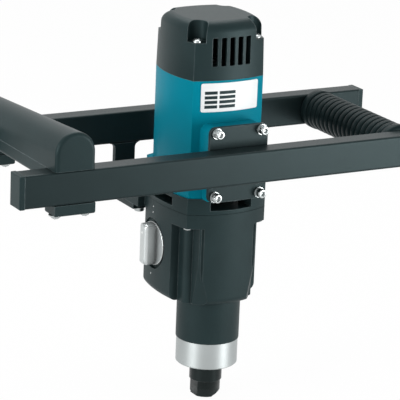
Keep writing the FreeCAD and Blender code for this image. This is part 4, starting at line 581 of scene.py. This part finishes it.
# Spindle's tip with its bore and wrench flats, and its slanted corner, in millimetres and degrees
TIP_RADIUS = 14.0
TIP_BEVEL = 0.5
TIP_FLAT = 12.0
TIP_BORE = 6.0
SLANT_START = 6.4
SLANT_RISE = 5.0
SLANT_TURN = -29
TIP_SHARP_ANGLE = 20


def spindle():
    """The spindle's own form with a sharper tip, and one corner of it cut off at a slant."""
    turn = math.radians(SLANT_TURN)
    outward = Vector((math.cos(turn), math.sin(turn), 0))
    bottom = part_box("spindle")[0].z
    start = Vector((0, 0, bottom)) + outward * SLANT_START * MM
    facing = outward * SLANT_RISE - Vector((0, 0, TIP_RADIUS - SLANT_START))
    bm = copied("spindle")
    for vertex in bm.verts:
        reach = vertex.co.xy.length / MM
        if vertex.co.z - bottom < CLOSE and reach > (TIP_BORE + TIP_RADIUS) / 2:
            wider = vertex.co.xy * (TIP_RADIUS - TIP_BEVEL) / reach
            vertex.co.x = max(-TIP_FLAT * MM, min(TIP_FLAT * MM, wider.x))
            vertex.co.y = wider.y
    bmesh.ops.edgeloop_fill(bm, edges=section(bm, start, facing, cut_off=True))
    open_edges = sum(not edge.is_manifold for edge in bm.edges)
    if open_edges:
        raise SystemExit(f"the spindle has {open_edges} open edges")
    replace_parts(piece("spindle_detailed", bm, "dark_steel", "output_spindle", TIP_SHARP_ANGLE), "spindle")


# Blank fields printed on the rating plate, in millimetres from its upper left corner
FIELD_ROWS = 4
FIELD_PITCH = 4.3
FIELD_HEIGHT = 2.9
FIELD_TOP = 7.4
FIELD_COLUMNS = ((3.2, 15.0), (17.0, 33.0))
PRINT_RISE = 0.06
PRINT_STEPS = 8


def printed(bm, carrier, left, right, low, high):
    """Thin closed strip that follows a node's front face from left to right and low to high."""
    ribs = []
    for step in range(PRINT_STEPS + 1):
        x = left + (right - left) * step / PRINT_STEPS
        rib = []
        for z, side in ((low, -1), (high, -1), (high, 1), (low, 1)):
            spot, _ = face_under(carrier, (x, OUTSIDE, z), (0, 1, 0))
            rib.append(bm.verts.new(spot + Vector((0, side * PRINT_RISE * MM, 0))))
        ribs.append(rib)
    join(bm, ribs)


def fields():
    """Rows of blank dark fields on the rating plate."""
    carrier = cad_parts["rating_plate"]
    low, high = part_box("rating_plate")
    bm = bmesh.new()
    for row in range(FIELD_ROWS):
        top = high.z - (FIELD_TOP + row * FIELD_PITCH) * MM
        for start, end in FIELD_COLUMNS:
            printed(bm, carrier, low.x + start * MM, low.x + end * MM, top - FIELD_HEIGHT * MM, top)
    piece("plate_fields", bm, "black_plastic", "body")


# Dark band that stands in for the shade in the joint of the gear housing and its cover, in millimetres
SHADOW_BAND_HALF = 0.35
SHADOW_BAND_PROUD = 0.08
SHADOW_BAND_DEPTH = 1.0
SHADOW_BAND_BELOW = 0.8


def outline(node, level):
    """Outer outline of a node at a height, as points in order round it."""
    bm = copied(node)
    beside = {}
    for edge in section(bm, (0, 0, level), (0, 0, 1)):
        first, second = edge.verts
        beside.setdefault(first, []).append(second)
        beside.setdefault(second, []).append(first)
    start = min(beside, key=lambda vertex: vertex.co.y)
    path = [start, beside[start][0]]
    while path[-1] is not start:
        path.append(next(vertex for vertex in beside[path[-1]] if vertex is not path[-2]))
    points = [vertex.co.copy() for vertex in path[1:]]
    bm.free()
    return points


def joint_shadow_band():
    """Dark band round the joint of the gear housing and its cover, a little proud of both: painted shade for
    the joint line.
    """
    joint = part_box("gear_housing")[1].z
    points = outline("gear_housing", joint - SHADOW_BAND_BELOW * MM)
    turn = sum(first.cross(second).z for first, second in zip(points, points[1:] + points[:1]))
    bm = bmesh.new()
    ribs = []
    for before, here, after in zip(points[-1:] + points[:-1], points, points[1:] + points[:1]):
        along = (after - before).normalized()
        outward = Vector((along.y, -along.x, 0)) * math.copysign(1, turn)
        rib = []
        for reach, rise in ((SHADOW_BAND_PROUD, -1), (SHADOW_BAND_PROUD, 1), (-SHADOW_BAND_DEPTH, 1), (-SHADOW_BAND_DEPTH, -1)):
            flat = here + outward * reach * MM
            rib.append(bm.verts.new((flat.x, flat.y, joint + rise * SHADOW_BAND_HALF * MM)))
        ribs.append(rib)
    join(bm, ribs, ring=True)
    bmesh.ops.remove_doubles(bm, verts=bm.verts, dist=CLOSE)
    piece("housing_joint_shadow_band", bm, "black_rubber", "body")


# Stage, light and camera

# White that the camera sees behind and under the object, and the level of the world's light on the object
PAPER = (1, 1, 1, 1)
PAPER_LEVEL = 1.0
WORLD_LIGHT = 0.34

# Floor's half width and gap under the object in metres, its own colour, and its share of that white
FLOOR_HALF = 12.0
FLOOR_GAP = 0.2 * MM
FLOOR_COLOUR = (0.85, 0.85, 0.85, 1)
FLOOR_PAPER_SHARE = 0.97

# Lamps: place and size in metres, and power in watts
LAMPS = {
    "top_light": ((0.15, 0.75, 1.75), 1.4, 22),
    "left_light": ((-1.85, -0.35, 0.6), 0.9, 26),
    "right_light": ((0.5, -0.68, 0.2), 0.4, 5.2),
}


def clear_view(tree):
    """1 for what the camera, reflections and glass see, and 0 for the light that surfaces get."""
    path = add(tree, "ShaderNodeLightPath").outputs
    seen = calculated(tree, "MAXIMUM", path["Is Camera Ray"], path["Is Glossy Ray"])
    return calculated(tree, "MAXIMUM", seen, path["Is Transmission Ray"])


def background():
    """White for the camera and for reflections, and a softer level for the light that it gives."""
    world = bpy.data.worlds.new("studio")
    bpy.context.scene.world = world
    world.use_nodes = True
    tree = world.node_tree
    tree.nodes.clear()
    glow = add(tree, "ShaderNodeBackground", {"Color": PAPER, "Strength": WORLD_LIGHT})
    plain = add(tree, "ShaderNodeBackground", {"Color": PAPER, "Strength": PAPER_LEVEL})
    mixed = add(tree, "ShaderNodeMixShader", {0: clear_view(tree), 1: glow.outputs[0], 2: plain.outputs[0]})
    add(tree, "ShaderNodeOutputWorld", {"Surface": mixed.outputs[0]})


def floor():
    """Pale floor under the spindle's tip, which keeps a soft shadow."""
    level = CAD_BOX[0].z - FLOOR_GAP
    ways = ((-1, -1), (1, -1), (1, 1), (-1, 1))
    mesh = bpy.data.meshes.new("floor")
    mesh.from_pydata([(x * FLOOR_HALF, y * FLOOR_HALF, level) for x, y in ways], [], [(0, 1, 2, 3)])
    plane = bpy.data.objects.new("floor", mesh)
    bpy.context.collection.objects.link(plane)
    material, tree = new_tree("pale_floor")
    matt = add(tree, "ShaderNodeBsdfDiffuse", {"Color": FLOOR_COLOUR})
    lit = add(tree, "ShaderNodeEmission", {"Color": PAPER, "Strength": PAPER_LEVEL})
    share = calculated(tree, "MULTIPLY", clear_view(tree), FLOOR_PAPER_SHARE)
    mixed = add(tree, "ShaderNodeMixShader", {0: share, 1: matt.outputs[0], 2: lit.outputs[0]})
    add(tree, "ShaderNodeOutputMaterial", {"Surface": mixed.outputs[0]})
    mesh.materials.append(material)


def soft_light(name, spot, size, power):
    """Square area light aimed at the same point as the camera."""
    data = bpy.data.lights.new(name, "AREA")
    data.size = size
    data.energy = power
    lamp = bpy.data.objects.new(name, data)
    bpy.context.collection.objects.link(lamp)
    lamp.location = spot
    lamp.rotation_euler = (Vector(spot) - CAMERA_TARGET).to_track_quat("Z", "Y").to_euler()


def camera():
    """Camera at the photograph's angle, aimed near the middle of the object."""
    data = bpy.data.cameras.new("camera")
    data.lens = CAMERA_LENS
    eye = bpy.data.objects.new("camera", data)
    bpy.context.collection.objects.link(eye)
    across = Vector((-math.sin(CAMERA_AZIMUTH), -math.cos(CAMERA_AZIMUTH), 0)) * math.cos(CAMERA_ELEVATION)
    back = across + Vector((0, 0, math.sin(CAMERA_ELEVATION)))
    eye.location = CAMERA_TARGET + back * CAMERA_DISTANCE
    turn = back.to_track_quat("Z", "Y").to_matrix() @ Matrix.Rotation(CAMERA_ROLL, 3, "Z")
    eye.rotation_euler = turn.to_euler()
    bpy.context.scene.camera = eye


# The dots come before the knob, because one is laid on the knob's CAD node while that still shows
dress_frame()
screws()
grip()
dots()
knob()
spindle()
fields()
joint_shadow_band()
background()
floor()
for name, lamp in LAMPS.items():
    soft_light(name, *lamp)
camera()
bpy.context.scene.view_settings.view_transform = "Standard"
